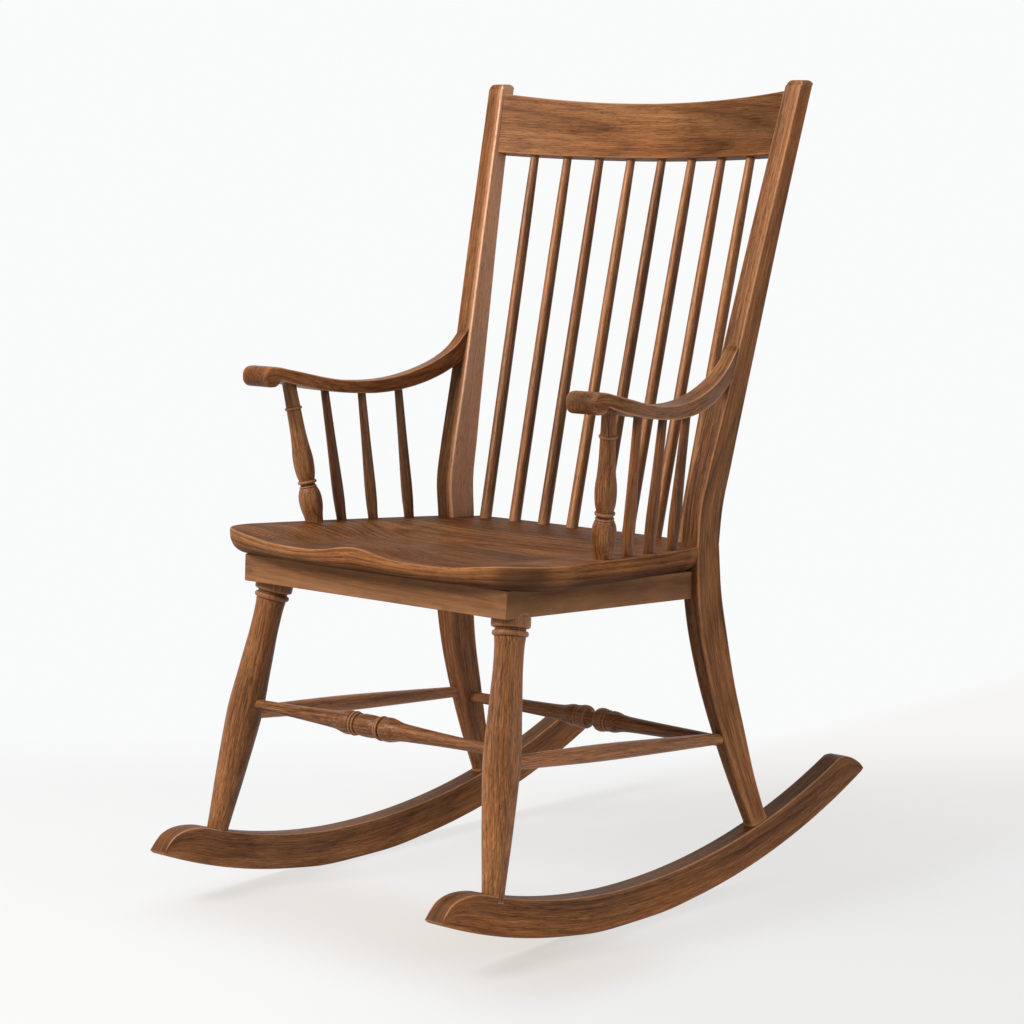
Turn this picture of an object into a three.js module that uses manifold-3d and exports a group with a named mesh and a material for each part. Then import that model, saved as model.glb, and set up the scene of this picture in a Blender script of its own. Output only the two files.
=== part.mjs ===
// High-backed rocking chair in walnut: a saddle seat on an apron, turned front legs, sawn back posts that run
// from the rockers to the crest rail, eight slender back spindles, and scrolled arms on turned posts.
// Millimetres. Z points up, the chair looks along -Y, and +X is on the left hand of the person in the seat.
import * as THREE from "three";
import { mergeVertices } from "three/addons/utils/BufferGeometryUtils.js";
import Module from "manifold-3d";

const wasm = await Module();
wasm.setup();

// Fit of one piece in another
const clearance = 0.3; // gap left all round between two pieces that touch
const overrun = 12; // how far a cutting tool passes the face it leaves by
const toolReach = 400; // size of a tool that takes away all that lies past a face
const weld = 1e-4; // points nearer than this are one point
const mostRoundShare = 0.47; // the most that one rounded corner takes of a section's width

// Seat: its frame starts at the front of the back posts, on the seat's top
const seatHeight = 443; // top of the seat at the back posts, above the floor
const seatPitchDegrees = 3; // the seat rises towards its front
const seatBackPlace = 151.7; // front of the back posts, behind the middle of the rockers' rest
const seatThickness = 31;
const seatDepth = 385; // from the back posts to the middle of the front edge
const seatBackReach = 66; // how far the seat runs on between the posts
const seatBackRound = 12; // how much the back edge comes forward at its ends
const seatFrontWidth = 540;
const seatSideBow = 4; // how far the sides stand out in their middle
const seatCornerRadius = 66;
const seatFrontBow = 13; // how far the front edge stands out in its middle
const seatEdgeRadius = 3;
const seatUndercut = 20; // how far the rolled under edge goes in
const seatDish = 13; // depth of the hollows under the thighs
const socketDepth = 20; // depth of the round mortises in the seat

// Apron under the seat
const apronHeight = 34;
const apronThickness = 20;
const backRailThickness = 12.5;
const apronFrontSetback = 33; // from the seat's front edge to the front of the apron
const apronFrontWidth = 444;
const apronBackWidth = 430;
const apronBackDistance = 27; // from the front of the back posts to the front of the back rail
const railTenonThickness = 9;
const railTenonShoulder = 6; // height of the shoulder above and below a rail's tenon
const railTenonLength = 18;
const backRailTenonLength = 11;
const cornerBlockLeg = 62; // length of a corner block along each rail
const cornerBlockFace = 20.5; // width of its ends
const cornerBlockDrop = 3; // how far its under side stays above the rails' under sides

// Back posts, each one sawn piece from the rocker to the top
const backHeight = 1020; // top of the posts above the floor
const postSpread = 447; // over the outsides of both posts at the seat
const postWidth = 28; // at the seat, seen from the front
const postTopWidth = 25;
const postFootWidth = 21;
const postDepth = 44; // at the seat, seen from the side
const postTopDepth = 25.5;
const postFootDepth = 33;
const postLean = 149; // how far the top stands behind the seat end
const postSweep = 89; // how far the foot stands behind the seat end
const postTopSplay = 41; // how far the top stands out to the side
const postFootSplay = 26.5; // how far the foot stands out to the side
const postEdgeRadius = 4;
const postFootEdgeRadius = 8;
const postDome = 7; // height of the rounded top
const postDomeInset = 6;
const postTenonThickness = 10;
const postTenonDepth = 18;
const postTenonLength = 24;

// Crest rail between the posts
const crestBelowTop = 101; // from the posts' tops to the middle of the rail's under edge
const crestThickness = 21;
const crestMiddleHeight = 74;
const crestEndHeight = 82.5;
const crestBow = 27; // how far the middle stands behind the ends
const crestEdgeRadius = 4;
const crestTenonThickness = 9;
const crestTenonHeight = 52;
const crestTenonLength = 13;
const crestSocketDepth = 20;

// Back spindles
const backSpindleCount = 8;
const backSpindleSeatPitch = 48.3;
const backSpindleCrestPitch = 52.3;
const backSpindleRow = 47; // from the front of the posts to the middle of the row
const backSpindleRowBow = 10.3; // how far the row's ends stand in front of its middle
const backSpindleCrestSetback = 3; // how far the tops stand behind the middle of the crest rail's thickness
const backSpindleFootRadius = 6.7;
const backSpindleTopRadius = 4.5;

// Arms
const armAboveSeat = 213.5; // top of the scroll above the seat's height
const armDip = 24.5; // how far the arm sinks behind the scroll
const armRise = 31.5; // how far its back end stands above the scroll
const armLength = 346; // from the tip of the scroll to the post
const armNosePlace = 272; // middle of the scroll, from the middle of the chair
const armNoseWidth = 47;
const armBackWidth = 18;
const armThickness = 19;
const armEdgeRadius = 3;
const armTenonWidth = 9;
const armTenonHeight = 12;
const armTenonLength = 20;
const armSocketDepth = 11;

// Turned posts and slender spindles under the arms
const armPostSeatPlace = 209.3; // from the front of the back posts to the foot of the arm post
const armPostInset = 14.5; // from the seat's edge to the middle of its foot
const armPostArmPlace = 229.6; // to its top, in the arm
const armPostRadius = 15.2; // the greatest, at the bulb
const armPostTenonRadius = 7.5;
const armSpindleSeatPlaces = [162, 111.7, 54]; // from the front of the back posts to each spindle's foot
const armSpindleInset = 10;
const armSpindleArmPlaces = [170, 110.7, 52];
const armSpindleFootRadius = 5.2;
const armSpindleTopRadius = 4.1;

// Rockers: two arcs that meet in a short level rest
const rockerSpread = 472.8; // between the middles of both rockers
const rockerThickness = 27;
const rockerDepth = 46;
const rockerRest = 120; // length of the level rest
const rockerFrontRadius = 899;
const rockerBackRadius = 1105;
const rockerFrontLength = 351.4; // along the under edge, from the middle of the rest to the front tip
const rockerBackLength = 499;
const rockerFrontRound = 65; // length over which the front tip is rounded
const rockerBackRound = 47;
const rockerEdgeRadius = 4.5;
const rockerStep = 52; // length of one flat of the arcs

// Turned front legs
const legFrontInset = 33.5; // from the front of the apron to the leg's axis
const legSideInset = 21;
const legFootPlace = 241.3; // the foot stands this far in front of the middle of the rockers' rest
const legRadius = 22.6; // the greatest, at the swell
const legTenonRadius = 10;
const legTenonLength = 26;
const legFootTenonRadius = 8;
const legFootTenonLength = 24;

// Stretchers
const frontStretcherHeight = 241;
const backStretcherHeight = 185.5;
const sideStretcherFrontHeight = 227;
const sideStretcherBackHeight = 194;
const frontStretcherRadius = 15;
const backStretcherRadius = 15.9;
const sideStretcherRadius = 9.7;
const stretcherTenonRadius = 6;
const stretcherRelief = 2.5; // bare length of a tenon between the mouth of its hole and the shoulder
const stretcherLegTenon = 12; // how far a stretcher enters a front leg
const stretcherPostTenon = 10; // how far a stretcher enters a back post

// Roundness of the facets
const legSides = 12;
const armPostSides = 12;
const stretcherSides = 12;
const spindleSides = 10;
const postStepsBelow = 8;
const postStepsAbove = 11;
const crestSteps = 10;
const rockerTopRounds = 20; // rounds of the search for a place on a rocker's top edge

// Back post above the seat: share of the height, share of the lean, share of the depth between top and seat
const postAboveShares = [
  [0, 0, 1],
  [0.085, 0.008, 1.09],
  [0.17, 0.092, 1.02],
  [0.235, 0.168, 0.86],
  [0.33, 0.279, 0.66],
  [0.47, 0.429, 0.49],
  [0.65, 0.62, 0.27],
  [0.82, 0.805, 0.1],
  [1, 1, 0],
];
// Back post below the seat: share of the drop, share of the sweep, share of the depth between foot and seat
const postBelowShares = [
  [0, 0, 1],
  [0.17, -0.019, 1.27],
  [0.318, 0.035, 1.58],
  [0.496, 0.195, 1.39],
  [0.658, 0.41, 1.11],
  [0.83, 0.685, 0.47],
  [1, 1, 0],
];
// Arm from the scroll's tip to the post: share of the length, share of the way from the post's line to the
// scroll's, top as a share of the dip below the scroll and of the rise above it, width share, thickness share,
// fall of the top towards the outside per unit of width
const armShares = [
  [0, 1, -0.36, 0, 0.88, 0.32, 0],
  [0.006, 1, -0.17, 0, 0.94, 0.78, 0],
  [0.02, 1, 0.02, 0, 0.98, 1.18, 0],
  [0.042, 1, 0.09, 0, 1, 1.38, 0],
  [0.062, 1, 0.08, 0, 1, 1.32, 0],
  [0.084, 1, 0.03, 0, 0.99, 0.88, 0],
  [0.115, 1, -0.07, 0, 0.98, 0.92, 0],
  [0.165, 0.99, -0.22, 0, 0.94, 0.96, 0],
  [0.23, 0.97, -0.42, 0, 0.84, 0.97, 0],
  [0.3, 0.92, -0.64, 0, 0.68, 0.94, 0],
  [0.39, 0.81, -0.87, 0, 0.5, 0.89, 0],
  [0.48, 0.7, -1, 0, 0.37, 0.89, 0.02],
  [0.58, 0.58, -1.02, 0, 0.27, 0.96, 0.06],
  [0.68, 0.43, -0.9, 0.03, 0.2, 1.05, 0.11],
  [0.78, 0.27, -0.7, 0.15, 0.15, 1.17, 0.16],
  [0.87, 0.14, -0.46, 0.34, 0.1, 1.28, 0.2],
  [0.94, 0.05, -0.22, 0.58, 0.05, 1.41, 0.18],
  [1, 0, 0, 0.97, 0, 1.72, 0.1],
];
// Rings of the seat's edge: share of the edge radius and of the undercut that the ring lies inside the outline,
// then its place between the top and the under side
const seatEdgeShares = [
  [1, 0, 0],
  [0.3, 0, 0.035],
  [0, 0, 0.12],
  [0, 0.01, 0.4],
  [0, 0.1, 0.6],
  [0, 0.3, 0.8],
  [0, 0.62, 0.94],
  [0, 1, 1],
];
const seatTopRingShares = [0.15, 0.34, 0.52, 0.68, 0.81, 0.91];
const seatUnderRingShare = 0.5;
// Hollows of the seat: from the middle to the side, and from the back posts to the front edge
const dishSideShares = [
  [0, 1],
  [0.45, 1],
  [0.6, 0.84],
  [0.72, 0.46],
  [0.85, 0.1],
  [1, 0],
];
const dishDepthShares = [
  [0, 0],
  [0.12, 0.12],
  [0.34, 0.86],
  [0.5, 1],
  [0.78, 0.94],
  [1, 0.76],
];
const pommelWidthShare = 0.17; // half width of the ridge between the thighs, of half the seat's width
const pommelReachShares = [
  [0, 0],
  [0.45, 0],
  [0.7, 0.35],
  [0.9, 0.95],
  [1, 1],
];
// Rounded top of the back posts: share of the dome's height, share of the inset
const postDomeShares = [
  [0.6, 0.25],
  [1, 1],
];
const armTenonDropShare = 0.62; // the tenon's middle below the arm's top, of the arm's thickness
// Rounded tips of the rockers: share of the rounded length, share of the rocker's depth there
const rockerTipShares = [
  [0, 0.12],
  [0.06, 0.4],
  [0.18, 0.65],
  [0.38, 0.85],
  [0.68, 0.97],
  [1, 1],
];
// Turned outlines: share of the length from the foot end, share of the greatest radius
const legShares = [
  [0, 0.6],
  [0.034, 0.625],
  [0.128, 0.72],
  [0.207, 0.8],
  [0.271, 0.855],
  [0.336, 0.91],
  [0.415, 0.968],
  [0.487, 1],
  [0.56, 0.962],
  [0.63, 0.905],
  [0.72, 0.845],
  [0.79, 0.795],
  [0.86, 0.785],
  [0.915, 0.815],
  [0.925, 0.93],
  [0.94, 0.965],
  [0.952, 0.93],
  [0.957, 0.86],
  [0.963, 0.86],
  [0.968, 0.98],
  [0.978, 1.03],
  [0.992, 1.03],
  [1, 1.0],
];
const armPostShares = [
  [0, 0.75],
  [0.05, 0.83],
  [0.1, 0.95],
  [0.155, 1],
  [0.205, 0.94],
  [0.24, 0.8],
  [0.25, 0.73],
  [0.257, 0.74],
  [0.265, 0.66],
  [0.278, 0.66],
  [0.283, 0.8],
  [0.3, 0.8],
  [0.306, 0.7],
  [0.35, 0.83],
  [0.42, 0.875],
  [0.48, 0.86],
  [0.56, 0.75],
  [0.66, 0.665],
  [0.8, 0.625],
  [0.812, 0.62],
  [0.817, 0.72],
  [0.835, 0.72],
  [0.84, 0.62],
  [1, 0.59],
];
// Half of a stretcher from its middle: share of the half length, share of the greatest radius
const frontStretcherShares = [
  [0, 0.92],
  [0.066, 0.86],
  [0.075, 0.8],
  [0.079, 0.88],
  [0.094, 1],
  [0.114, 1],
  [0.121, 0.9],
  [0.13, 0.95],
  [0.165, 0.985],
  [0.2, 0.88],
  [0.32, 0.69],
  [0.6, 0.53],
  [0.92, 0.42],
];
const backStretcherShares = [
  [0, 0.61],
  [0.035, 0.78],
  [0.05, 0.95],
  [0.068, 1],
  [0.086, 0.95],
  [0.104, 0.82],
  [0.109, 0.9],
  [0.122, 0.86],
  [0.15, 0.9],
  [0.175, 0.87],
  [0.22, 0.72],
  [0.3, 0.635],
  [0.6, 0.53],
  [0.94, 0.45],
];
const sideStretcherShares = [
  [0.01, 0.74],
  [0.07, 0.8],
  [0.25, 0.94],
  [0.45, 1],
  [0.7, 0.88],
  [0.93, 0.72],
  [0.99, 0.66],
];
const backSpindleShares = [
  [0, 0],
  [0.03, 0],
  [0.2, 0.04],
  [0.5, 0.4],
  [0.8, 0.85],
  [0.97, 1],
  [1, 1],
];
const armSpindleShares = [
  [0, -0.1],
  [0.04, -0.1],
  [0.18, -0.7],
  [0.5, 0.05],
  [0.9, 1],
  [1, 1],
];

const mix = THREE.MathUtils.lerp;

// The value in a table's column at a place between its rows, on a smooth curve through them.
function along(table, place, column = 1) {
  const last = table.length - 1;
  const at = THREE.MathUtils.clamp(place, table[0][0], table[last][0]);
  let i = 0;
  while (i < last - 1 && at > table[i + 1][0]) i += 1;
  const slope = (k) => {
    const before = table[Math.max(k - 1, 0)];
    const after = table[Math.min(k + 1, last)];
    return (after[column] - before[column]) / (after[0] - before[0]);
  };
  const span = table[i + 1][0] - table[i][0];
  const t = (at - table[i][0]) / span;
  const ease = 3 * t ** 2 - 2 * t ** 3;
  const start = slope(i) * span * t * (1 - t) ** 2;
  const end = slope(i + 1) * span * t ** 2 * (1 - t);
  return mix(table[i][column], table[i + 1][column], ease) + start - end;
}

// Closed surfaces, solids and cuts

// The volume a surface encloses, below zero where its faces point inwards.
function enclosed(positions, indices) {
  const corner = (k) => new THREE.Vector3().fromArray(positions, 3 * indices[k]);
  let sum = 0;
  for (let k = 0; k < indices.length; k += 3)
    sum += corner(k).dot(corner(k + 1).cross(corner(k + 2))) / 6;
  return sum;
}

// A geometry from points and triangles, turned so that its faces point out.
function surface(positions, indices) {
  const kept = [];
  for (let k = 0; k < indices.length; k += 3) {
    const [a, b, c] = [indices[k], indices[k + 1], indices[k + 2]];
    if (a !== b && b !== c && c !== a) kept.push(a, b, c);
  }
  if (enclosed(positions, kept) < 0) kept.reverse();
  const geometry = new THREE.BufferGeometry();
  geometry.setAttribute("position", new THREE.Float32BufferAttribute(positions, 3));
  geometry.setIndex(kept);
  geometry.computeVertexNormals();
  return geometry;
}

// A three.js shape as one closed surface with shared corners.
function closed(geometry) {
  const bare = new THREE.BufferGeometry();
  bare.setAttribute("position", geometry.getAttribute("position"));
  bare.setIndex(geometry.index ? geometry.index : null);
  const merged = mergeVertices(bare, weld);
  return surface([...merged.attributes.position.array], [...merged.index.array]);
}

// The skin over a row of rings that have equally many points, closed at both ends.
function loft(rings) {
  const count = rings[0].length;
  const positions = rings.flat().flatMap((p) => p.toArray());
  const indices = [];
  for (let k = 0; k + 1 < rings.length; k += 1)
    for (let i = 0; i < count; i += 1) {
      const next = (i + 1) % count;
      const [a, b] = [k * count + i, k * count + next];
      indices.push(a, b, b + count, a, b + count, a + count);
    }
  for (const [k, turn] of [[0, true], [rings.length - 1, false]]) {
    const hub = positions.length / 3;
    const centre = new THREE.Vector3();
    rings[k].forEach((p) => centre.addScaledVector(p, 1 / count));
    positions.push(...centre.toArray());
    for (let i = 0; i < count; i += 1) {
      const [a, b] = [k * count + i, k * count + ((i + 1) % count)];
      if (turn) indices.push(hub, b, a);
      else indices.push(hub, a, b);
    }
  }
  return surface(positions, indices);
}

// A piece turned on a lathe about Y, from its outline of [radius, height] points between the two ends.
function turned(outline, sides) {
  const points = outline.map(([radius, height]) => new THREE.Vector2(radius, height));
  points.unshift(new THREE.Vector2(0, outline[0][1]));
  points.push(new THREE.Vector2(0, outline[outline.length - 1][1]));
  return closed(new THREE.LatheGeometry(points, sides));
}

function rod(radius, low, high, sides) {
  return turned([[radius, low], [radius, high]], sides);
}

// A flat outline given as [x, y] pairs, raised from one height to another.
function slab(outline, low, high) {
  const shape = new THREE.Shape(outline.map(([x, y]) => new THREE.Vector2(x, y)));
  const raised = new THREE.ExtrudeGeometry(shape, { depth: high - low, bevelEnabled: false });
  return closed(raised.translate(0, 0, low));
}

function block(low, high) {
  const size = new THREE.Vector3().subVectors(high, low);
  const centre = new THREE.Vector3().addVectors(low, high).multiplyScalar(0.5);
  return closed(new THREE.BoxGeometry(size.x, size.y, size.z).translate(centre.x, centre.y, centre.z));
}

// The twelve corners of an upright rounded rectangle's outline, seen along one axis.
function rounded(x0, x1, y0, y1, radius) {
  const r = Math.min(radius, (x1 - x0) * mostRoundShare, (y1 - y0) * mostRoundShare);
  const bend = r * (1 - Math.SQRT1_2);
  return [
    [x1, y0 + r],
    [x1, y1 - r],
    [x1 - bend, y1 - bend],
    [x1 - r, y1],
    [x0 + r, y1],
    [x0 + bend, y1 - bend],
    [x0, y1 - r],
    [x0, y0 + r],
    [x0 + bend, y0 + bend],
    [x0 + r, y0],
    [x1 - r, y0],
    [x1 - bend, y0 + bend],
  ];
}

function solidOf(geometry, matrix) {
  const moved = closed(geometry.clone().applyMatrix4(matrix));
  const vertProperties = new Float32Array(moved.attributes.position.array);
  const triVerts = new Uint32Array(moved.index.array);
  return new wasm.Manifold(new wasm.Mesh({ numProp: 3, vertProperties, triVerts }));
}

function geometryOf(solid) {
  const { vertProperties, triVerts } = solid.getMesh();
  return surface([...vertProperties], [...triVerts]);
}

// A tool or tenon is a geometry with the piece or group whose frame it is drawn in.
function inFrameOf(target, { geometry, frame }) {
  target.updateWorldMatrix(true, false);
  frame.updateWorldMatrix(true, false);
  const matrix = target.matrixWorld.clone().invert().multiply(frame.matrixWorld);
  return solidOf(geometry, matrix);
}

function cut(target, ...tools) {
  let solid = solidOf(target.geometry, new THREE.Matrix4());
  for (const tool of tools) solid = solid.subtract(inFrameOf(target, tool));
  target.geometry = geometryOf(solid);
}

function join(target, ...additions) {
  let solid = solidOf(target.geometry, new THREE.Matrix4());
  for (const addition of additions) solid = solid.add(inFrameOf(target, addition));
  target.geometry = geometryOf(solid);
}

// Materials
function sawnWalnut() {
  return new THREE.MeshStandardMaterial({ color: 0x6b4229, roughness: 0.5, metalness: 0 });
}

function turnedWalnut() {
  return new THREE.MeshStandardMaterial({ color: 0x74482c, roughness: 0.45, metalness: 0 });
}

function seatWalnut() {
  return new THREE.MeshStandardMaterial({ color: 0x78492d, roughness: 0.42, metalness: 0 });
}

const sawn = sawnWalnut();
const turnedWood = turnedWalnut();
const seatWood = seatWalnut();

// The chair, and inside it the tilted frame of the seat and the raked frame of the crest rail
const chair = new THREE.Group();
const seatFrame = new THREE.Group();
seatFrame.position.set(0, seatBackPlace, seatHeight);
seatFrame.rotation.x = -THREE.MathUtils.degToRad(seatPitchDegrees);
chair.add(seatFrame);
chair.updateMatrixWorld(true);

const sides = { left: 1, right: -1 };

function piece(name, geometry, material, parent = chair) {
  const mesh = new THREE.Mesh(geometry, material);
  mesh.name = name;
  parent.add(mesh);
  return mesh;
}

// Stands a turned piece on a point, with its own Y axis towards another.
function stand(mesh, foot, top) {
  const direction = new THREE.Vector3().subVectors(top, foot).normalize();
  mesh.position.copy(foot);
  mesh.quaternion.setFromUnitVectors(new THREE.Vector3(0, 1, 0), direction);
  mesh.updateWorldMatrix(true, false);
  return mesh;
}

function onSeatFrame(x, y, z) {
  return seatFrame.localToWorld(new THREE.Vector3(x, y, z));
}

// Rockers
function rockerUnderEdge(s) {
  if (Math.abs(s) <= rockerRest / 2) return { y: s, z: 0, angle: 0 };
  const radius = s < 0 ? rockerFrontRadius : rockerBackRadius;
  const angle = s / radius;
  return { y: radius * Math.sin(angle), z: radius * (1 - Math.cos(angle)), angle };
}

// Places of the rings along the under edge, and the share of the full depth at each
function rockerStations() {
  const tip = (length, round, way) =>
    rockerTipShares.map(([share, depth]) => [way * (length - share * round), depth]);
  const arc = (length, round, way) => {
    const [from, to] = [rockerRest / 2, length - round];
    const count = Math.max(1, Math.round((to - from) / rockerStep));
    return Array.from({ length: count }, (_, i) => [way * mix(from, to, i / count), 1]);
  };
  const front = tip(rockerFrontLength, rockerFrontRound, -1);
  const frontArc = arc(rockerFrontLength, rockerFrontRound, -1).reverse();
  const backArc = arc(rockerBackLength, rockerBackRound, 1);
  const back = tip(rockerBackLength, rockerBackRound, 1).reverse();
  return [...front, ...frontArc, ...backArc, ...back];
}

function rockerGeometry(grow, widen) {
  const half = rockerThickness / 2 + widen;
  const rings = rockerStations().map(([s, share]) => {
    const { y, z, angle } = rockerUnderEdge(s);
    const outline = rounded(-half, half, -grow, rockerDepth * share + grow, rockerEdgeRadius);
    return outline.map(([x, up]) => new THREE.Vector3(x, y - up * Math.sin(angle), z + up * Math.cos(angle)));
  });
  return loft(rings);
}

// Height of the rocker's top edge at a place in front of or behind the rest.
function rockerTopAt(place) {
  let s = place;
  for (let k = 0; k < rockerTopRounds; k += 1) {
    const { y, angle } = rockerUnderEdge(s);
    s += place - (y - rockerDepth * Math.sin(angle));
  }
  const { z, angle } = rockerUnderEdge(s);
  return z + rockerDepth * Math.cos(angle);
}

function makeRocker(name, side) {
  const rocker = piece(name, rockerGeometry(0, 0), sawn);
  rocker.position.x = (side * rockerSpread) / 2;
  rocker.updateWorldMatrix(true, false);
  return rocker;
}

// Back posts
const postFootY = seatBackPlace + postSweep + postFootDepth / 2;
const postFootHeight = rockerTopAt(postFootY);

// Outer side, width, front and depth of a back post at a height above the floor.
function postAt(height) {
  const above = height >= seatHeight;
  const share = above
    ? (height - seatHeight) / (backHeight - seatHeight)
    : (seatHeight - height) / (seatHeight - postFootHeight);
  const table = above ? postAboveShares : postBelowShares;
  const offset = above ? postLean : postSweep;
  const endDepth = above ? postTopDepth : postFootDepth;
  const endWidth = above ? postTopWidth : postFootWidth;
  const splay = above ? postTopSplay : postFootSplay;
  const endRadius = above ? postEdgeRadius : postFootEdgeRadius;
  return {
    outer: postSpread / 2 + splay * share,
    width: mix(postWidth, endWidth, share),
    front: seatBackPlace + offset * along(table, share, 1),
    depth: mix(endDepth, postDepth, along(table, share, 2)),
    radius: mix(postEdgeRadius, endRadius, share),
  };
}

function postMiddle(side, height) {
  const { outer, width, front, depth } = postAt(height);
  return new THREE.Vector3(side * (outer - width / 2), front + depth / 2, height);
}

function postRing(side, height, grow, outward, backward) {
  const { outer, width, front, depth, radius } = postAt(height);
  const [x0, x1] = [outer - width - grow, outer + grow + outward];
  const [y0, y1] = [front - grow, front + depth + grow + backward];
  return rounded(x0, x1, y0, y1, radius).map(([x, y]) => new THREE.Vector3(side * x, y, height));
}

function postHeights() {
  const foot = postFootHeight - postTenonLength / 2;
  const full = backHeight - postDome;
  const below = Array.from({ length: postStepsBelow }, (_, i) => mix(foot, seatHeight, i / postStepsBelow));
  const above = Array.from({ length: postStepsAbove + 1 }, (_, i) => mix(seatHeight, full, i / postStepsAbove));
  return [...below, ...above];
}

function postGeometry(side, grow = 0, outward = 0, backward = 0) {
  const rings = postHeights().map((height) => postRing(side, height, grow, outward, backward));
  const middle = postMiddle(side, backHeight);
  for (const [rise, inset] of postDomeShares) {
    const ring = postRing(side, backHeight, grow, outward, backward);
    const shrink = 1 - (inset * postDomeInset) / (postTopWidth / 2);
    const height = backHeight - postDome * (1 - rise);
    rings.push(ring.map((p) => p.sub(middle).multiplyScalar(shrink).add(middle).setZ(height)));
  }
  return loft(rings);
}

// Everything that a piece beside the post must keep clear of.
function postTool(side, outward = 0, backward = 0) {
  return { geometry: postGeometry(side, clearance, outward, backward), frame: chair };
}

function makePost(name, side, rocker) {
  const post = piece(name, postGeometry(side), sawn);
  cut(post, { geometry: rockerGeometry(clearance, overrun), frame: rocker });
  const foot = postMiddle(side, postFootHeight);
  const knee = postMiddle(side, postFootHeight + postTenonLength);
  const tenon = stand(new THREE.Mesh(), foot, knee);
  const [x, z] = [postTenonThickness / 2, postTenonDepth / 2];
  const low = new THREE.Vector3(-x, -postTenonLength, -z);
  join(post, { geometry: block(low, new THREE.Vector3(x, postTenonLength / 2, z)), frame: tenon });
  const grown = new THREE.Vector3(clearance, clearance, clearance);
  const high = new THREE.Vector3(x, overrun, z);
  cut(rocker, { geometry: block(low.clone().sub(grown), high.add(grown)), frame: tenon });
  return post;
}

// Seat
const seatFrontHalf = seatFrontWidth / 2;
const seatBackHalf = postSpread / 2;

// Half of the seat's outline as curves with their steps, from the middle of the back to the middle of the front
function seatHalfOutline() {
  const v = (x, y) => new THREE.Vector2(x, y);
  const backCorner = v(seatBackHalf, seatBackReach - seatBackRound);
  const postCorner = v(seatBackHalf, 0);
  const reach = seatFrontHalf - seatCornerRadius;
  const cornerY = seatFrontBow * (1 + (2 * seatCornerRadius) / reach) - seatDepth;
  const widest = v(seatFrontHalf, cornerY + seatCornerRadius);
  const sideBend = v(mix(seatBackHalf, seatFrontHalf, 0.5) + 2 * seatSideBow, widest.y / 2);
  const frontEnd = v(reach, seatFrontBow - seatDepth);
  const backBend = v(seatBackHalf / 2, seatBackReach);
  const back = new THREE.QuadraticBezierCurve(v(0, seatBackReach), backBend, backCorner);
  const postSide = new THREE.LineCurve(backCorner, postCorner);
  const outside = new THREE.QuadraticBezierCurve(postCorner, sideBend, widest);
  const corner = new THREE.QuadraticBezierCurve(widest, v(seatFrontHalf, cornerY), frontEnd);
  const front = new THREE.QuadraticBezierCurve(frontEnd, v(reach / 2, -seatDepth), v(0, -seatDepth));
  return [[back, 6], [postSide, 2], [outside, 6], [corner, 6], [front, 8]];
}

function seatOutline() {
  const half = seatHalfOutline().flatMap(([curve, steps]) => curve.getPoints(steps).slice(0, -1));
  const front = new THREE.Vector2(0, -seatDepth);
  const mirrored = half.slice(1).reverse().map((p) => new THREE.Vector2(-p.x, p.y));
  return [...half, front, ...mirrored];
}

function insetOutline(outline, inset) {
  return outline.map((p, i) => {
    const before = outline[(i + outline.length - 1) % outline.length];
    const after = outline[(i + 1) % outline.length];
    const run = new THREE.Vector2().subVectors(after, before).normalize();
    return new THREE.Vector2(p.x + run.y * inset, p.y - run.x * inset);
  });
}

// Half of the seat's width at a distance behind (above zero) or in front of the posts' front.
function seatHalfWidthAt(y) {
  const outline = seatHalfOutline().slice(1).flatMap(([curve, steps]) => curve.getPoints(steps));
  for (let i = 0; i + 1 < outline.length; i += 1) {
    const [a, b] = [outline[i], outline[i + 1]];
    if (a.y >= y && y >= b.y && a.y > b.y) return mix(a.x, b.x, (a.y - y) / (a.y - b.y));
  }
  return y > 0 ? seatBackHalf : seatFrontHalf - seatCornerRadius;
}

// How far the saddle's top lies under the flat top at a point.
function seatHollow(x, y) {
  const forward = THREE.MathUtils.clamp(-y / seatDepth, 0, 1);
  const across = Math.abs(x) / mix(seatBackHalf, seatFrontHalf, forward);
  const ridge = Math.exp(-((across / pommelWidthShare) ** 2));
  const pommel = ridge * along(pommelReachShares, forward);
  const hollow = along(dishSideShares, across) * along(dishDepthShares, forward);
  return seatDish * Math.max(0, hollow) * Math.min(1, 1 - pommel);
}

function seatGeometry() {
  const outline = seatOutline();
  const centre = new THREE.Vector2(0, -seatDepth / 2);
  const inner = insetOutline(outline, seatEdgeRadius);
  const scaled = (ring, share) => ring.map((p) => p.clone().sub(centre).multiplyScalar(share).add(centre));
  const top = ({ x, y }) => new THREE.Vector3(x, y, -seatHollow(x, y));
  const rings = seatTopRingShares.map((share) => scaled(inner, share).map(top));
  for (const [edgeShare, underShare, drop] of seatEdgeShares) {
    const inset = insetOutline(outline, edgeShare * seatEdgeRadius + underShare * seatUndercut);
    rings.push(inset.map((p, i) => new THREE.Vector3(p.x, p.y, mix(top(outline[i]).z, -seatThickness, drop))));
  }
  const under = insetOutline(outline, seatUndercut);
  rings.push(scaled(under, seatUnderRingShare).map((p) => new THREE.Vector3(p.x, p.y, -seatThickness)));
  return loft(rings);
}

function makeSeat() {
  const seat = piece("seat", seatGeometry(), seatWood, seatFrame);
  cut(seat, postTool(1, toolReach, toolReach), postTool(-1, toolReach, toolReach));
  return seat;
}

// Apron, in the seat's frame
const apronTop = -seatThickness - clearance;
const apronUnder = apronTop - apronHeight;
const apronFront = apronFrontSetback - seatDepth;

function apronHalfWidthAt(y) {
  return mix(apronFrontWidth, apronBackWidth, (y - apronFront) / -apronFront) / 2;
}

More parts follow.
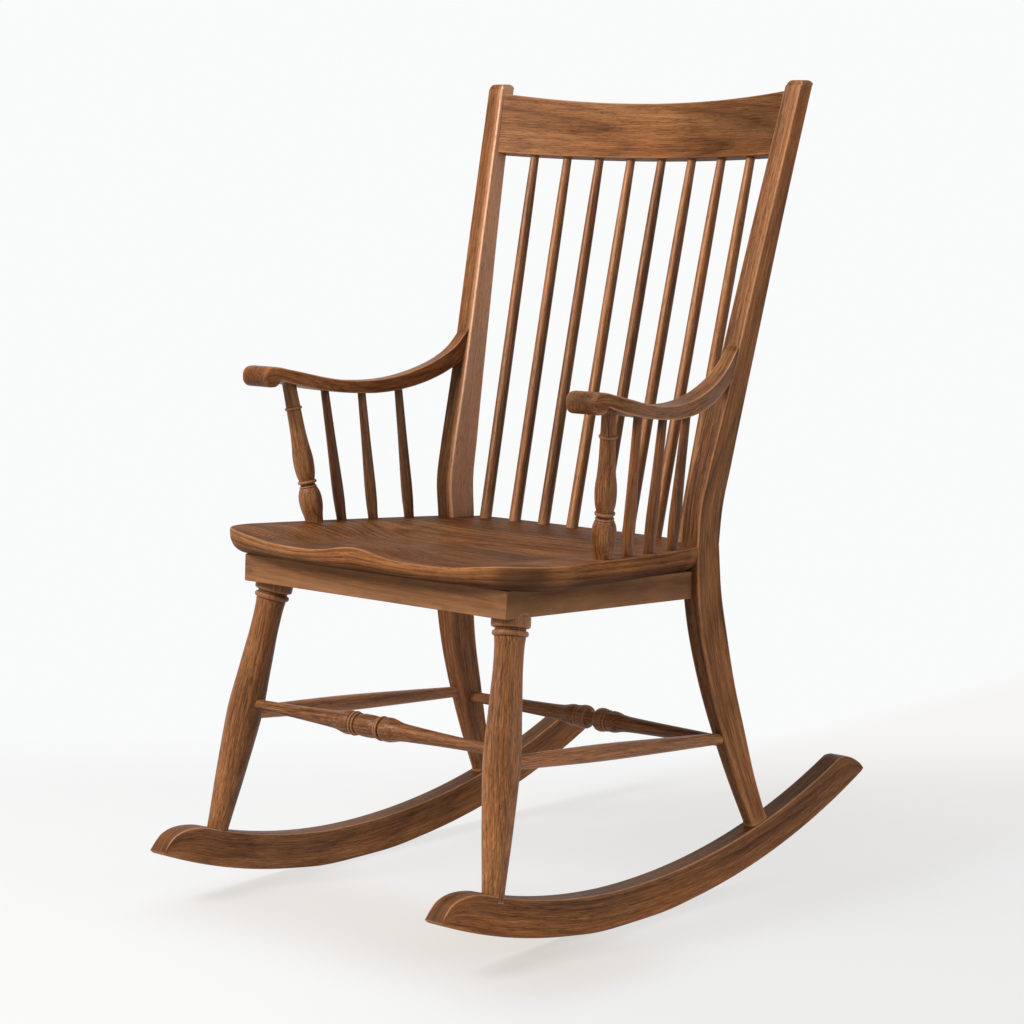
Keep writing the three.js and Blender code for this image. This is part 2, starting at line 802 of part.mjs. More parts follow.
function makeFrontRail() {
  const inner = apronFront + apronThickness;
  const [outerX, innerX] = [apronHalfWidthAt(apronFront), apronHalfWidthAt(inner) - apronThickness];
  const gap = clearance * Math.SQRT1_2;
  const outline = [
    [-outerX + gap, apronFront],
    [outerX - gap, apronFront],
    [innerX - gap, inner],
    [-innerX + gap, inner],
  ];
  return piece("apron_front", slab(outline, apronUnder, apronTop), sawn, seatFrame);
}

// An outline drawn for the left side, on either side.
function onSide(outline, side) {
  const placed = outline.map(([x, y]) => [side * x, y]);
  return side > 0 ? placed : placed.reverse();
}

function makeSideRail(name, side, post) {
  const inner = apronFront + apronThickness;
  const gap = clearance * Math.SQRT1_2;
  const outline = [
    [apronHalfWidthAt(apronFront), apronFront + gap],
    [apronHalfWidthAt(overrun), overrun],
    [apronHalfWidthAt(overrun) - apronThickness, overrun],
    [apronHalfWidthAt(inner) - apronThickness, inner + gap],
  ];
  const geometry = slab(onSide(outline, side), apronUnder, apronTop);
  const rail = piece(name, geometry, sawn, seatFrame);
  cut(rail, postTool(side));
  const middle = side * (apronHalfWidthAt(0) - apronThickness / 2);
  const reach = new THREE.Vector3(railTenonThickness / 2, railTenonLength, apronHeight / 2 - railTenonShoulder);
  const centre = new THREE.Vector3(middle, 0, (apronTop + apronUnder) / 2);
  mortise(rail, post, seatFrame, centre, reach);
  return rail;
}

// Adds a square tenon that reaches equally far both ways from a centre, and cuts its mortise.
function mortise(target, mother, frame, centre, reach) {
  const low = centre.clone().sub(reach);
  const high = centre.clone().add(reach);
  const grown = new THREE.Vector3(clearance, clearance, clearance);
  cut(mother, { geometry: block(low.clone().sub(grown), high.clone().add(grown)), frame });
  join(target, { geometry: block(low, high), frame });
}

function makeBackRail(posts) {
  const half = apronHalfWidthAt(0);
  const [front, back] = [apronBackDistance, apronBackDistance + backRailThickness];
  const outline = [
    [-half, front],
    [half, front],
    [half, back],
    [-half, back],
  ];
  const rail = piece("apron_back", slab(outline, apronUnder, apronTop), sawn, seatFrame);
  cut(rail, postTool(1), postTool(-1));
  for (const side of Object.values(sides)) {
    const { outer, width } = postAt(onSeatFrame(0, front, (apronTop + apronUnder) / 2).z);
    const centre = new THREE.Vector3(side * (outer - width), (front + back) / 2, (apronTop + apronUnder) / 2);
    const height = apronHeight / 2 - railTenonShoulder;
    const reach = new THREE.Vector3(backRailTenonLength, railTenonThickness / 2, height);
    mortise(rail, side > 0 ? posts.left : posts.right, seatFrame, centre, reach);
  }
  return rail;
}

function makeCornerBlock(name, side) {
  const front = apronFront + apronThickness + clearance;
  const outer = apronHalfWidthAt(front) - apronThickness - clearance;
  const outerBack = apronHalfWidthAt(front + cornerBlockLeg) - apronThickness - clearance;
  const outline = [
    [outer - cornerBlockLeg, front],
    [outer, front],
    [outerBack, front + cornerBlockLeg],
    [outerBack - cornerBlockFace, front + cornerBlockLeg],
    [outer - cornerBlockLeg, front + cornerBlockFace],
  ];
  const geometry = slab(onSide(outline, side), apronUnder + cornerBlockDrop, apronTop);
  return piece(name, geometry, sawn, seatFrame);
}

// Turned pieces between two points. The outline runs from the foot to the top.
function outlineBetween(shares, radius, length) {
  return shares.map(([share, size]) => [radius * size, length * share]);
}

function bore(target, mesh, radius, low, high, count) {
  cut(target, { geometry: rod(radius + clearance, low, high, count), frame: mesh });
}

// Front legs
const legTopY = apronFront + legFrontInset;

function legTop(side) {
  return onSeatFrame(side * (apronHalfWidthAt(legTopY) - legSideInset), legTopY, apronUnder - clearance);
}

function legFoot(side) {
  return new THREE.Vector3((side * rockerSpread) / 2, -legFootPlace, rockerTopAt(-legFootPlace) + clearance);
}

function legPointAt(side, height) {
  const [foot, top] = [legFoot(side), legTop(side)];
  return foot.clone().lerp(top, (height - foot.z) / (top.z - foot.z));
}

function makeLeg(name, side, rocker, around) {
  const [foot, top] = [legFoot(side), legTop(side)];
  const length = foot.distanceTo(top);
  const outline = outlineBetween(legShares, legRadius, length);
  outline.unshift([outline[0][0], -overrun]);
  outline.push([outline[outline.length - 1][0], length + overrun]);
  const leg = stand(piece(name, turned(outline, legSides), turnedWood), foot, top);
  const under = apronUnder - clearance;
  const far = new THREE.Vector3(toolReach, toolReach, under + toolReach);
  const above = { geometry: block(new THREE.Vector3(-toolReach, -toolReach, under), far), frame: seatFrame };
  const below = { geometry: rockerGeometry(clearance, overrun), frame: rocker };
  cut(leg, above, below);
  const inside = legTenonRadius;
  const topTenon = rod(legTenonRadius, length - inside, length + legTenonLength, legSides);
  const footTenon = rod(legFootTenonRadius, -legFootTenonLength, inside, legSides);
  join(leg, { geometry: topTenon, frame: leg }, { geometry: footTenon, frame: leg });
  const high = length + legTenonLength + clearance;
  around.forEach((target) => bore(target, leg, legTenonRadius, length - overrun, high, legSides));
  bore(rocker, leg, legFootTenonRadius, -legFootTenonLength - clearance, overrun, legSides);
  return leg;
}

// Stretchers. The ends enter the legs and posts as round tenons of their own thickness.
function makeStretcher(name, outline, from, to, ends) {
  const mesh = stand(piece(name, turned(outline, stretcherSides), turnedWood), from, to);
  ends.forEach(([target, low, high]) =>
    bore(target, mesh, stretcherTenonRadius, low - clearance, high + clearance, stretcherSides),
  );
  return mesh;
}

// A stretcher's outline with a straight tenon at each end.
function tenonedOutline(shares, radius, length, tenon, lastTenon) {
  const [from, to] = [tenon + stretcherRelief, length - lastTenon - stretcherRelief];
  const body = shares.map(([share, size]) => [radius * size, mix(from, to, share)]);
  const bare = stretcherTenonRadius;
  return [[bare, 0], [bare, from], ...body, [bare, to], [bare, length]];
}

// The shares of a whole length from those of its half, which run from the middle outwards.
function doubled(shares) {
  const upper = shares.map(([share, size]) => [(1 + share) / 2, size]);
  const lower = shares.slice(1).reverse().map(([share, size]) => [(1 - share) / 2, size]);
  return [...lower, ...upper];
}

// The point where a line across the chair leaves a front leg, moved into the leg by the tenon.
function legSocketEnd(side, height, towards) {
  const axis = legPointAt(side, height);
  const length = legFoot(side).distanceTo(legTop(side));
  const radius = legRadius * along(legShares, axis.distanceTo(legFoot(side)) / length);
  const direction = new THREE.Vector3().subVectors(towards, axis).normalize();
  return axis.addScaledVector(direction, radius - stretcherLegTenon);
}

function makeFrontStretcher(legs) {
  const mate = (side) => legPointAt(side, frontStretcherHeight);
  const from = legSocketEnd(1, frontStretcherHeight, mate(-1));
  const to = legSocketEnd(-1, frontStretcherHeight, mate(1));
  const length = from.distanceTo(to);
  const shares = doubled(frontStretcherShares);
  const tenon = stretcherLegTenon;
  const outline = tenonedOutline(shares, frontStretcherRadius, length, tenon, tenon);
  const reach = stretcherLegTenon + overrun;
  const ends = [[legs.left, 0, reach], [legs.right, length - reach, length]];
  return makeStretcher("stretcher_front", outline, from, to, ends);
}

function makeBackStretcher(posts) {
  const end = (side) => {
    const { width } = postAt(backStretcherHeight);
    const middle = postMiddle(side, backStretcherHeight);
    return middle.setX(middle.x - side * (width / 2 - stretcherPostTenon));
  };
  const [from, to] = [end(1), end(-1)];
  const length = from.distanceTo(to);
  const shares = doubled(backStretcherShares);
  const tenon = stretcherPostTenon;
  const outline = tenonedOutline(shares, backStretcherRadius, length, tenon, tenon);
  const reach = stretcherPostTenon + overrun;
  const ends = [[posts.left, 0, reach], [posts.right, length - reach, length]];
  return makeStretcher("stretcher_back", outline, from, to, ends);
}

function makeSideStretcher(name, side, leg, post) {
  const { front } = postAt(sideStretcherBackHeight);
  const back = postMiddle(side, sideStretcherBackHeight).setY(front + stretcherPostTenon);
  const from = legSocketEnd(side, sideStretcherFrontHeight, back);
  const length = from.distanceTo(back);
  const [frontTenon, backTenon] = [stretcherLegTenon, stretcherPostTenon];
  const outline = tenonedOutline(sideStretcherShares, sideStretcherRadius, length, frontTenon, backTenon);
  const legReach = stretcherLegTenon + overrun;
  const postReach = stretcherPostTenon + overrun;
  const ends = [[leg, 0, legReach], [post, length - postReach, length]];
  return makeStretcher(name, outline, from, back, ends);
}

// Crest rail, in a frame raked like the posts, at the middle of its under edge
const crestFrame = new THREE.Group();
chair.add(crestFrame);

function placeCrestFrame() {
  const height = backHeight - crestBelowTop;
  const [low, high] = [postAt(height), postAt(height + crestMiddleHeight)];
  const rake = Math.atan2(high.front - low.front, crestMiddleHeight);
  crestFrame.rotation.x = -rake;
  crestFrame.position.set(0, low.front + low.depth / 2 + crestBow * Math.cos(rake), height);
  crestFrame.updateMatrixWorld(true);
}
placeCrestFrame();

const crestHalfSpan = postAt(backHeight - crestBelowTop).outer - postWidth / 2;

function crestBowAt(x) {
  return -crestBow * (x / crestHalfSpan) ** 2;
}

function crestHeightAt(x) {
  return mix(crestMiddleHeight, crestEndHeight, (x / crestHalfSpan) ** 2);
}

function makeCrest(posts) {
  const half = crestThickness / 2;
  const rings = Array.from({ length: crestSteps + 1 }, (_, i) => {
    const x = mix(-crestHalfSpan, crestHalfSpan, i / crestSteps);
    const outline = rounded(-half, half, 0, crestHeightAt(x), crestEdgeRadius);
    return outline.map(([y, z]) => new THREE.Vector3(x, crestBowAt(x) + y, z));
  });
  const crest = piece("crest_rail", loft(rings), sawn, crestFrame);
  cut(crest, postTool(1, toolReach), postTool(-1, toolReach));
  for (const side of Object.values(sides)) {
    const { outer, width } = postAt(backHeight - crestBelowTop + crestEndHeight / 2);
    const x = outer - width;
    const centre = new THREE.Vector3(side * x, crestBowAt(x), crestHeightAt(x) / 2);
    const reach = new THREE.Vector3(crestTenonLength, crestTenonThickness / 2, crestTenonHeight / 2);
    mortise(crest, side > 0 ? posts.left : posts.right, crestFrame, centre, reach);
  }
  return crest;
}

// Back spindles
function makeBackSpindle(index, seat, crest) {
  const place = index - (backSpindleCount - 1) / 2;
  const aside = place / ((backSpindleCount - 1) / 2);
  const footY = backSpindleRow - backSpindleRowBow * aside ** 2;
  const foot = onSeatFrame(place * backSpindleSeatPitch, footY, 0);
  const topX = place * backSpindleCrestPitch;
  const topY = crestBowAt(topX) + backSpindleCrestSetback;
  const top = crestFrame.localToWorld(new THREE.Vector3(topX, topY, 0));
  const length = foot.distanceTo(top);
  const [low, high] = [-socketDepth, length + crestSocketDepth];
  const outline = backSpindleShares.map(([height, thin]) => [
    mix(backSpindleFootRadius, backSpindleTopRadius, thin),
    mix(low, high, height),
  ]);
  const name = "back_spindle_" + (index + 1);
  const spindle = stand(piece(name, turned(outline, spindleSides), turnedWood), foot, top);
  bore(seat, spindle, backSpindleFootRadius, low - clearance, overrun, spindleSides);
  bore(crest, spindle, backSpindleTopRadius, length - overrun, high + clearance, spindleSides);
  return spindle;
}

// Arms
const armTop = seatHeight + armAboveSeat;
const armPostFace = postAt(armTop + armRise);
const armTip = armPostFace.front - armLength;

// Middle line, top, width, thickness and outward fall of an arm at a share of its length from the tip.
function armAt(share) {
  const [line, dip, rise, width, thickness, fall] = [1, 2, 3, 4, 5, 6].map((k) => along(armShares, share, k));
  return {
    x: mix(armPostFace.outer - armPostFace.width / 2, armNosePlace, line),
    y: armTip + armLength * share,
    top: armTop + armDip * dip + armRise * rise,
    width: mix(armBackWidth, armNoseWidth, width),
    thickness: armThickness * thickness,
    fall,
  };
}

function armShareAt(y) {
  return (y - armTip) / armLength;
}

// One section across an arm: a flat board with eased edges, leaning outwards towards the back.
function armRing(side, share) {
  const { x, y, top, width, thickness, fall } = armAt(share);
  const section = rounded(-width / 2, width / 2, top - thickness, top, armEdgeRadius);
  return section.map(([across, z]) => new THREE.Vector3(side * (x + across), y, z - fall * across));
}

function makeArm(name, side, post) {
  const rings = armShares.map(([share]) => armRing(side, share));
  const pastPost = overrun / armLength;
  const last = armRing(side, 1);
  const before = armRing(side, 1 - pastPost);
  rings.push(last.map((p, i) => p.clone().add(p.clone().sub(before[i]))));
  const arm = piece(name, loft(rings), sawn);
  cut(arm, postTool(side, toolReach, toolReach));
  const { x, top, thickness } = armAt(1);
  const centre = new THREE.Vector3(side * x, armPostFace.front, top - thickness * armTenonDropShare);
  const reach = new THREE.Vector3(armTenonWidth / 2, armTenonLength, armTenonHeight / 2);
  const low = centre.clone().sub(reach);
  const high = centre.clone().add(reach);
  low.y = Math.min(centre.y - armTenonHeight / 2, postAt(centre.z).front);
  const grown = new THREE.Vector3(clearance, clearance, clearance);
  join(arm, { geometry: block(low, high), frame: chair });
  const room = block(low.clone().sub(grown), high.clone().add(grown));
  cut(post, { geometry: room, frame: chair });
  return arm;
}

// A point under the arm, as deep in it as a socket.
function armSocketTop(side, place) {
  const share = armShareAt(seatBackPlace - place);
  const { x, y, top, thickness } = armAt(share);
  return new THREE.Vector3(side * x, y, top - thickness + armSocketDepth);
}

function seatEdgePoint(side, place, inset) {
  return onSeatFrame(side * (seatHalfWidthAt(-place) - inset), -place, 0);
}

function makeArmPost(name, side, seat, arm, seatBlank) {
  const foot = seatEdgePoint(side, armPostSeatPlace, armPostInset);
  const top = armSocketTop(side, armPostArmPlace);
  const length = foot.distanceTo(top);
  const body = outlineBetween(armPostShares, armPostRadius, length - armSocketDepth);
  const neck = body[body.length - 1][0];
  body.unshift([body[0][0], -overrun / 2]);
  body.push([neck, length]);
  const post = stand(piece(name, turned(body, armPostSides), turnedWood), foot, top);
  const lifted = seatBlank.clone().translate(0, 0, clearance);
  cut(post, { geometry: lifted, frame: seatFrame });
  const tenon = rod(armPostTenonRadius, -socketDepth, armPostTenonRadius, armPostSides);
  join(post, { geometry: tenon, frame: post });
  bore(seat, post, armPostTenonRadius, -socketDepth - clearance, overrun, armPostSides);
  bore(arm, post, neck, length - armSocketDepth - overrun, length + clearance, armPostSides);
  return post;
}

function makeArmSpindle(name, side, index, seat, arm) {
  const foot = seatEdgePoint(side, armSpindleSeatPlaces[index], armSpindleInset);
  const top = armSocketTop(side, armSpindleArmPlaces[index]);
  const length = foot.distanceTo(top);
  const low = -socketDepth;
  const outline = armSpindleShares.map(([height, thin]) => [
    mix(armSpindleFootRadius, armSpindleTopRadius, thin),
    mix(low, length, height),
  ]);
  const spindle = stand(piece(name, turned(outline, spindleSides), turnedWood), foot, top);
  const footRadius = outline[0][0];
  bore(seat, spindle, footRadius, low - clearance, overrun, spindleSides);
  bore(arm, spindle, armSpindleTopRadius, length - armSocketDepth - overrun, length + clearance, spindleSides);
  return spindle;
}

// Assembly
const rockers = {};
const posts = {};
for (const [word, side] of Object.entries(sides)) {
  rockers[word] = makeRocker("rocker_" + word, side);
  posts[word] = makePost("back_post_" + word, side, rockers[word]);
}
const seat = makeSeat();
const seatBlank = seat.geometry.clone();
const frontRail = makeFrontRail();
makeBackRail(posts);
const crest = makeCrest(posts);
const legs = {};
for (const [word, side] of Object.entries(sides)) {
  const sideRail = makeSideRail("apron_side_" + word, side, posts[word]);
  const corner = makeCornerBlock("corner_block_" + word, side);
  legs[word] = makeLeg("front_leg_" + word, side, rockers[word], [frontRail, sideRail, corner]);
}
makeFrontStretcher(legs);
makeBackStretcher(posts);
for (const [word, side] of Object.entries(sides)) {
  makeSideStretcher("stretcher_side_" + word, side, legs[word], posts[word]);
  const arm = makeArm("arm_" + word, side, posts[word]);
  makeArmPost("arm_post_" + word, side, seat, arm, seatBlank);
  for (let i = 0; i < armSpindleSeatPlaces.length; i += 1)
    makeArmSpindle("arm_spindle_" + word + "_" + (i + 1), side, i, seat, arm);
}
for (let i = 0; i < backSpindleCount; i += 1) makeBackSpindle(i, seat, crest);

// The origin lies on the floor under the middle of the rockers' length.
const frontTip = rockerUnderEdge(-rockerFrontLength).y;
const backTip = rockerUnderEdge(rockerBackLength).y;
chair.position.y = -(frontTip + backTip) / 2;
chair.updateMatrixWorld(true);

export default chair;
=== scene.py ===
import math

import bpy
import numpy as np
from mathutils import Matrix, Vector

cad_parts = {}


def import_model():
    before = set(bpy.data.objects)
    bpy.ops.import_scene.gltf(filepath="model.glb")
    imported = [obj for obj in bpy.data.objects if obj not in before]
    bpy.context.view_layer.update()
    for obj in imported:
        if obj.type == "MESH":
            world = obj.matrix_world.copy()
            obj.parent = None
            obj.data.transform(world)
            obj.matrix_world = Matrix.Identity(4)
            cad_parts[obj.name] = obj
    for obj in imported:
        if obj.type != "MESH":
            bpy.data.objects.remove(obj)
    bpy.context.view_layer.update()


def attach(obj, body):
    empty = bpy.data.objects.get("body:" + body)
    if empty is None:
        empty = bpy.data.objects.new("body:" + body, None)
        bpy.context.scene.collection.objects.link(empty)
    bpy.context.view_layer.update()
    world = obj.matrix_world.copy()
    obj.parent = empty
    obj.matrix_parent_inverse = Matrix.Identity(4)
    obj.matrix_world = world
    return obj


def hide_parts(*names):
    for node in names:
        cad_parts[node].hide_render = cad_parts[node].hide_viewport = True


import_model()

# Sizes in millimetres, as in the solids; some are refined here by a millimetre or two against the photograph
SEAT_HEIGHT = 443.0
SEAT_PITCH = math.radians(3.0)
SEAT_BACK_PLACE = 151.7
SEAT_THICKNESS = 31.0
SEAT_DEPTH = 385.0
SEAT_BACK_REACH = 66.0
SEAT_BACK_ROUND = 12.0
SEAT_FRONT_WIDTH = 540.0
SEAT_SIDE_BOW = 4.0
SEAT_CORNER_RADIUS = 66.0
SEAT_FRONT_BOW = 13.0
SEAT_EDGE_RADIUS = 2.0
SEAT_UNDERCUT = 20.0
SEAT_DISH = 13.0
APRON_HEIGHT = 34.0
APRON_THICKNESS = 20.0
BACK_RAIL_THICKNESS = 12.5
APRON_FRONT_SETBACK = 33.0
APRON_FRONT_WIDTH = 444.0
APRON_BACK_WIDTH = 430.0
APRON_BACK_DISTANCE = 27.0
CORNER_BLOCK_LEG = 62.0
CORNER_BLOCK_FACE = 20.5
CORNER_BLOCK_DROP = 3.0
BACK_HEIGHT = 1020.0
POST_SPREAD = 447.0
POST_WIDTH = 28.0
POST_TOP_WIDTH = 25.0
POST_FOOT_WIDTH = 21.0
POST_DEPTH = 44.0
POST_TOP_DEPTH = 25.5
POST_FOOT_DEPTH = 33.0
POST_LEAN = 149.0
POST_SWEEP = 89.0
POST_TOP_SPLAY = 41.0
POST_FOOT_SPLAY = 24.3
POST_EDGE_RADIUS = 2.6
POST_FOOT_EDGE_RADIUS = 8.0
POST_DOME = 7.0
POST_DOME_INSET = 6.0
CREST_BELOW_TOP = 101.0
CREST_THICKNESS = 21.0
CREST_MIDDLE_HEIGHT = 74.0
CREST_END_HEIGHT = 82.5
CREST_BOW = 27.0
CREST_EDGE_RADIUS = 2.6
CREST_SETBACK = 3.5
BACK_SPINDLES = 8
BACK_SPINDLE_SEAT_PITCH = 48.3
BACK_SPINDLE_CREST_PITCH = 52.3
BACK_SPINDLE_ROW = 47.0
BACK_SPINDLE_ROW_BOW = 10.3
BACK_SPINDLE_SETBACK = 3.0
BACK_SPINDLE_RADII = (8.1, 5.7)
ARM_ABOVE_SEAT = 213.5
ARM_DIP = 24.5
ARM_RISE = 31.5
ARM_LENGTH = 346.0
ARM_NOSE_PLACE = 272.0
ARM_NOSE_WIDTH = 46.95
ARM_BACK_WIDTH = 18.0
ARM_THICKNESS = 19.0
ARM_SOCKET = 11.0
ARM_POST_SEAT_PLACE = 209.3
ARM_POST_INSET = 14.5
ARM_POST_ARM_PLACE = 229.6
ARM_POST_RADIUS = 15.2
ARM_SPINDLE_SEAT_PLACES = [162.0, 111.7, 54.0]
ARM_SPINDLE_INSET = 10.0
ARM_SPINDLE_ARM_PLACES = [170.0, 110.7, 52.0]
ARM_SPINDLE_RADII = (6.4, 5.2)
ROCKER_SPREAD = 472.8
ROCKER_THICKNESS = 27.0
ROCKER_DEPTH = 46.0
ROCKER_REST = 120.0
ROCKER_FRONT_RADIUS = 899.0
ROCKER_BACK_RADIUS = 1105.0
ROCKER_FRONT_LENGTH = 351.4
ROCKER_BACK_LENGTH = 499.0
ROCKER_FRONT_ROUND = 65.0
ROCKER_BACK_ROUND = 40.0
ROCKER_BACK_EASE = 2.3
LEG_FRONT_INSET = 33.5
LEG_SIDE_INSET = 21.0
LEG_FOOT_PLACE = 241.3
LEG_RADIUS = 22.6
FRONT_STRETCHER_HEIGHT = 241.0
BACK_STRETCHER_HEIGHT = 185.5
SIDE_STRETCHER_FRONT_HEIGHT = 227.0
SIDE_STRETCHER_BACK_HEIGHT = 194.0
FRONT_STRETCHER_RADIUS = 15.0
BACK_STRETCHER_RADIUS = 15.9
SIDE_STRETCHER_RADIUS = 10.6
GAP = 0.3  # between two pieces
MOST_ROUND = 0.47  # the most that one rounded corner takes of a section's width

# Share of the post's height above or below the seat, of its lean or sweep there, and of its depth
POST_ABOVE = [(0, 0, 1), (.085, .008, 1.09), (.17, .092, 1.02), (.235, .168, .86), (.33, .279, .66),
              (.47, .429, .49), (.65, .62, .27), (.82, .805, .1), (1, 1, 0)]
POST_BELOW = [(0, 0, 1), (.17, -.019, 1.27), (.318, .035, 1.58), (.496, .195, 1.39), (.658, .41, 1.11),
              (.83, .685, .47), (1, 1, 0)]
# Share of the arm's length, its way out from post to scroll, dip, rise, width, thickness and slope across
ARM_TABLE = [(0, 1, .04, 0, .97, 1.28, 0), (.02, 1, .07, 0, .985, 1.33, 0), (.042, 1, .09, 0, 1, 1.38, 0),
             (.062, 1, .08, 0, 1, 1.32, 0), (.084, 1, .03, 0, .99, .88, 0), (.115, 1, -.07, 0, .98, .92, 0),
             (.165, .99, -.22, 0, .94, .96, 0), (.23, .97, -.42, 0, .84, .97, 0), (.3, .92, -.64, 0, .68, .94, 0),
             (.39, .81, -.87, 0, .5, .89, 0), (.48, .7, -1, 0, .37, .89, .02), (.58, .58, -1.02, 0, .27, .96, .06),
             (.68, .43, -.9, .03, .2, 1.05, .11), (.78, .27, -.7, .15, .15, 1.17, .16),
             (.87, .14, -.46, .34, .1, 1.28, .2), (.94, .05, -.22, .62, .05, 1.44, .18), (1, 0, 0, 1.1, 0, 1.84, .1)]
# The seat's hollows: share of the half width or of the depth from back to front, and of the greatest depth
DISH_SIDE = [(0, 1), (.45, 1), (.6, .84), (.72, .46), (.85, .1), (1, 0)]
DISH_DEPTH = [(0, 0), (.12, .12), (.34, .86), (.5, 1), (.78, .94), (1, .76)]
POMMEL_WIDTH = 0.17
POMMEL_REACH = [(0, 0), (.45, 0), (.7, .35), (.9, .95), (1, 1)]
# Share of the rounded length from a rocker's tip, and of the rocker's full depth
ROCKER_FRONT_TIP = [(0, .05), (.058, .31), (.14, .53), (.3, .725), (.51, .865), (.78, .965), (1, 1)]
ROCKER_BACK_TIP = [(0, .06), (.03, .18), (.085, .3), (.18, .43), (.3, .57), (.5, .745), (.72, .895), (1, 1)]
SIDES = {"left": 1, "right": -1}


# Smooth curves through tables
def mix(a, b, t):
    return a + (b - a) * t


def along(table, place, column=1):
    last = len(table) - 1
    at = min(max(place, table[0][0]), table[last][0])
    i = 0
    while i < last - 1 and at > table[i + 1][0]:
        i += 1

    def slope(k):
        before, after = table[max(k - 1, 0)], table[min(k + 1, last)]
        return (after[column] - before[column]) / (after[0] - before[0])

    span = table[i + 1][0] - table[i][0]
    t = (at - table[i][0]) / span
    ease = 3 * t ** 2 - 2 * t ** 3
    start = slope(i) * span * t * (1 - t) ** 2
    end = slope(i + 1) * span * t ** 2 * (1 - t)
    return mix(table[i][column], table[i + 1][column], ease) + start - end


def smoothstep(t):
    t = min(max(t, 0.0), 1.0)
    return t * t * (3 - 2 * t)


# Parts of turned outlines: share of the length, share of the greatest radius
def swept(rows, steps=7):
    places = [mix(a[0], b[0], k / steps) for a, b in zip(rows, rows[1:]) for k in range(steps)] + [rows[-1][0]]
    return [(p, along(rows, p)) for p in places]


def bead(at, half, low, high, steps=10):
    return [(at - half * math.cos(math.pi * k / steps), mix(low, high, math.sin(math.pi * k / steps) ** 0.8))
            for k in range(steps + 1)]


def tapered(table, radii, low, high, steps):
    """Radii and heights of a spindle between two radii."""
    return [(mix(*radii, along(table, t)), mix(low, high, t)) for t in np.linspace(0, 1, steps)]


def quarter(start, end, low, high, steps=7):
    turns = [math.pi / 2 * k / steps for k in range(steps + 1)]
    return [(mix(start, end, 1 - math.cos(t)), mix(low, high, math.sin(t))) for t in turns]


# The chair's frames: points are made in millimetres, with y from the middle of the rockers' rest
def world(points):
    return (np.asarray(points, float).reshape(-1, 3) + (0, CHAIR_Y, 0)) / 1000.0


def on_seat(x, y, z):
    c, s = math.cos(-SEAT_PITCH), math.sin(-SEAT_PITCH)
    return np.array([x, SEAT_BACK_PLACE + c * y - s * z, SEAT_HEIGHT + s * y + c * z])


def rocker_arc(s):
    radius = ROCKER_FRONT_RADIUS if s < 0 else ROCKER_BACK_RADIUS
    return radius * math.sin(s / radius), radius * (1 - math.cos(s / radius)), s / radius


def rocker_lift(s):
    return rocker_arc(s)[1] * (smoothstep(abs(s) / ROCKER_REST) - 1)


CHAIR_Y = -(rocker_arc(-ROCKER_FRONT_LENGTH)[0] + rocker_arc(ROCKER_BACK_LENGTH)[0]) / 2


def rocker_top(place):
    """Height of the rocker's top edge at a place along the chair."""
    s = place
    for _ in range(20):
        y, z, angle = rocker_arc(s)
        s += place - (y - ROCKER_DEPTH * math.sin(angle))
    y, z, angle = rocker_arc(s)
    return z + ROCKER_DEPTH * math.cos(angle)


POST_FOOT_HEIGHT = rocker_top(SEAT_BACK_PLACE + POST_SWEEP + POST_FOOT_DEPTH / 2)


# Each half's end, lean or sweep, splay, width, depth and edge radius there, and table
POST_UPPER = (BACK_HEIGHT, POST_LEAN, POST_TOP_SPLAY, POST_TOP_WIDTH, POST_TOP_DEPTH, POST_EDGE_RADIUS, POST_ABOVE)
POST_LOWER = (POST_FOOT_HEIGHT, POST_SWEEP, POST_FOOT_SPLAY, POST_FOOT_WIDTH, POST_FOOT_DEPTH, POST_FOOT_EDGE_RADIUS,
              POST_BELOW)


def post_at(height):
    end, reach, splay, width, depth, radius, table = POST_UPPER if height >= SEAT_HEIGHT else POST_LOWER
    share = (height - SEAT_HEIGHT) / (end - SEAT_HEIGHT)
    return dict(outer=POST_SPREAD / 2 + splay * share, width=mix(POST_WIDTH, width, share),
                front=SEAT_BACK_PLACE + reach * along(table, share, 1),
                depth=mix(depth, POST_DEPTH, along(table, share, 2)), radius=mix(POST_EDGE_RADIUS, radius, share))


def post_middle(side, height):
    p = post_at(height)
    return np.array([side * (p["outer"] - p["width"] / 2), p["front"] + p["depth"] / 2, height])


# Meshes. Every point carries its place in the wood, across the grain twice and then along it, in metres, and a tone:
# a gain on the wood's colour, which holds painted light and shade as well as the wood's own tone.
NORMAL_WEIGHT = 60
LIGHT_SIDE = np.array([-0.743, -0.669, 0.0])  # painted light: turned pieces are lighter on this side, towards the key lamp
GLINT_SIDE = np.array([0.259, -0.966, 0.0])  # where a spindle's painted highlight runs
GLINT_POWER = 20
# strengths of the painted light on spindles and on other turned pieces
SPINDLE_SHADING, TURNED_SHADING = 0.34, 0.2


def rounded(x0, x1, y0, y1, radius, steps=5, cuts=3):
    """A rounded rectangle: for each corner its arc of steps, then the points that cut the side after it."""
    r = min(radius, (x1 - x0) * MOST_ROUND, (y1 - y0) * MOST_ROUND)
    corners = [(x1 - r, y1 - r, 0), (x0 + r, y1 - r, 1), (x0 + r, y0 + r, 2), (x1 - r, y0 + r, 3)]

    def on_arc(corner, share):
        x, y, turn = corner
        angle = math.pi / 2 * (turn + share)
        return x + r * math.cos(angle), y + r * math.sin(angle)

    out = []
    for k, corner in enumerate(corners):
        out += [on_arc(corner, t / steps) for t in range(steps + 1)]
        last, first = out[-1], on_arc(corners[(k + 1) % 4], 0)
        for c in range(1, cuts + 1):
            out.append((mix(last[0], first[0], c / (cuts + 1)), mix(last[1], first[1], c / (cuts + 1))))
    return out


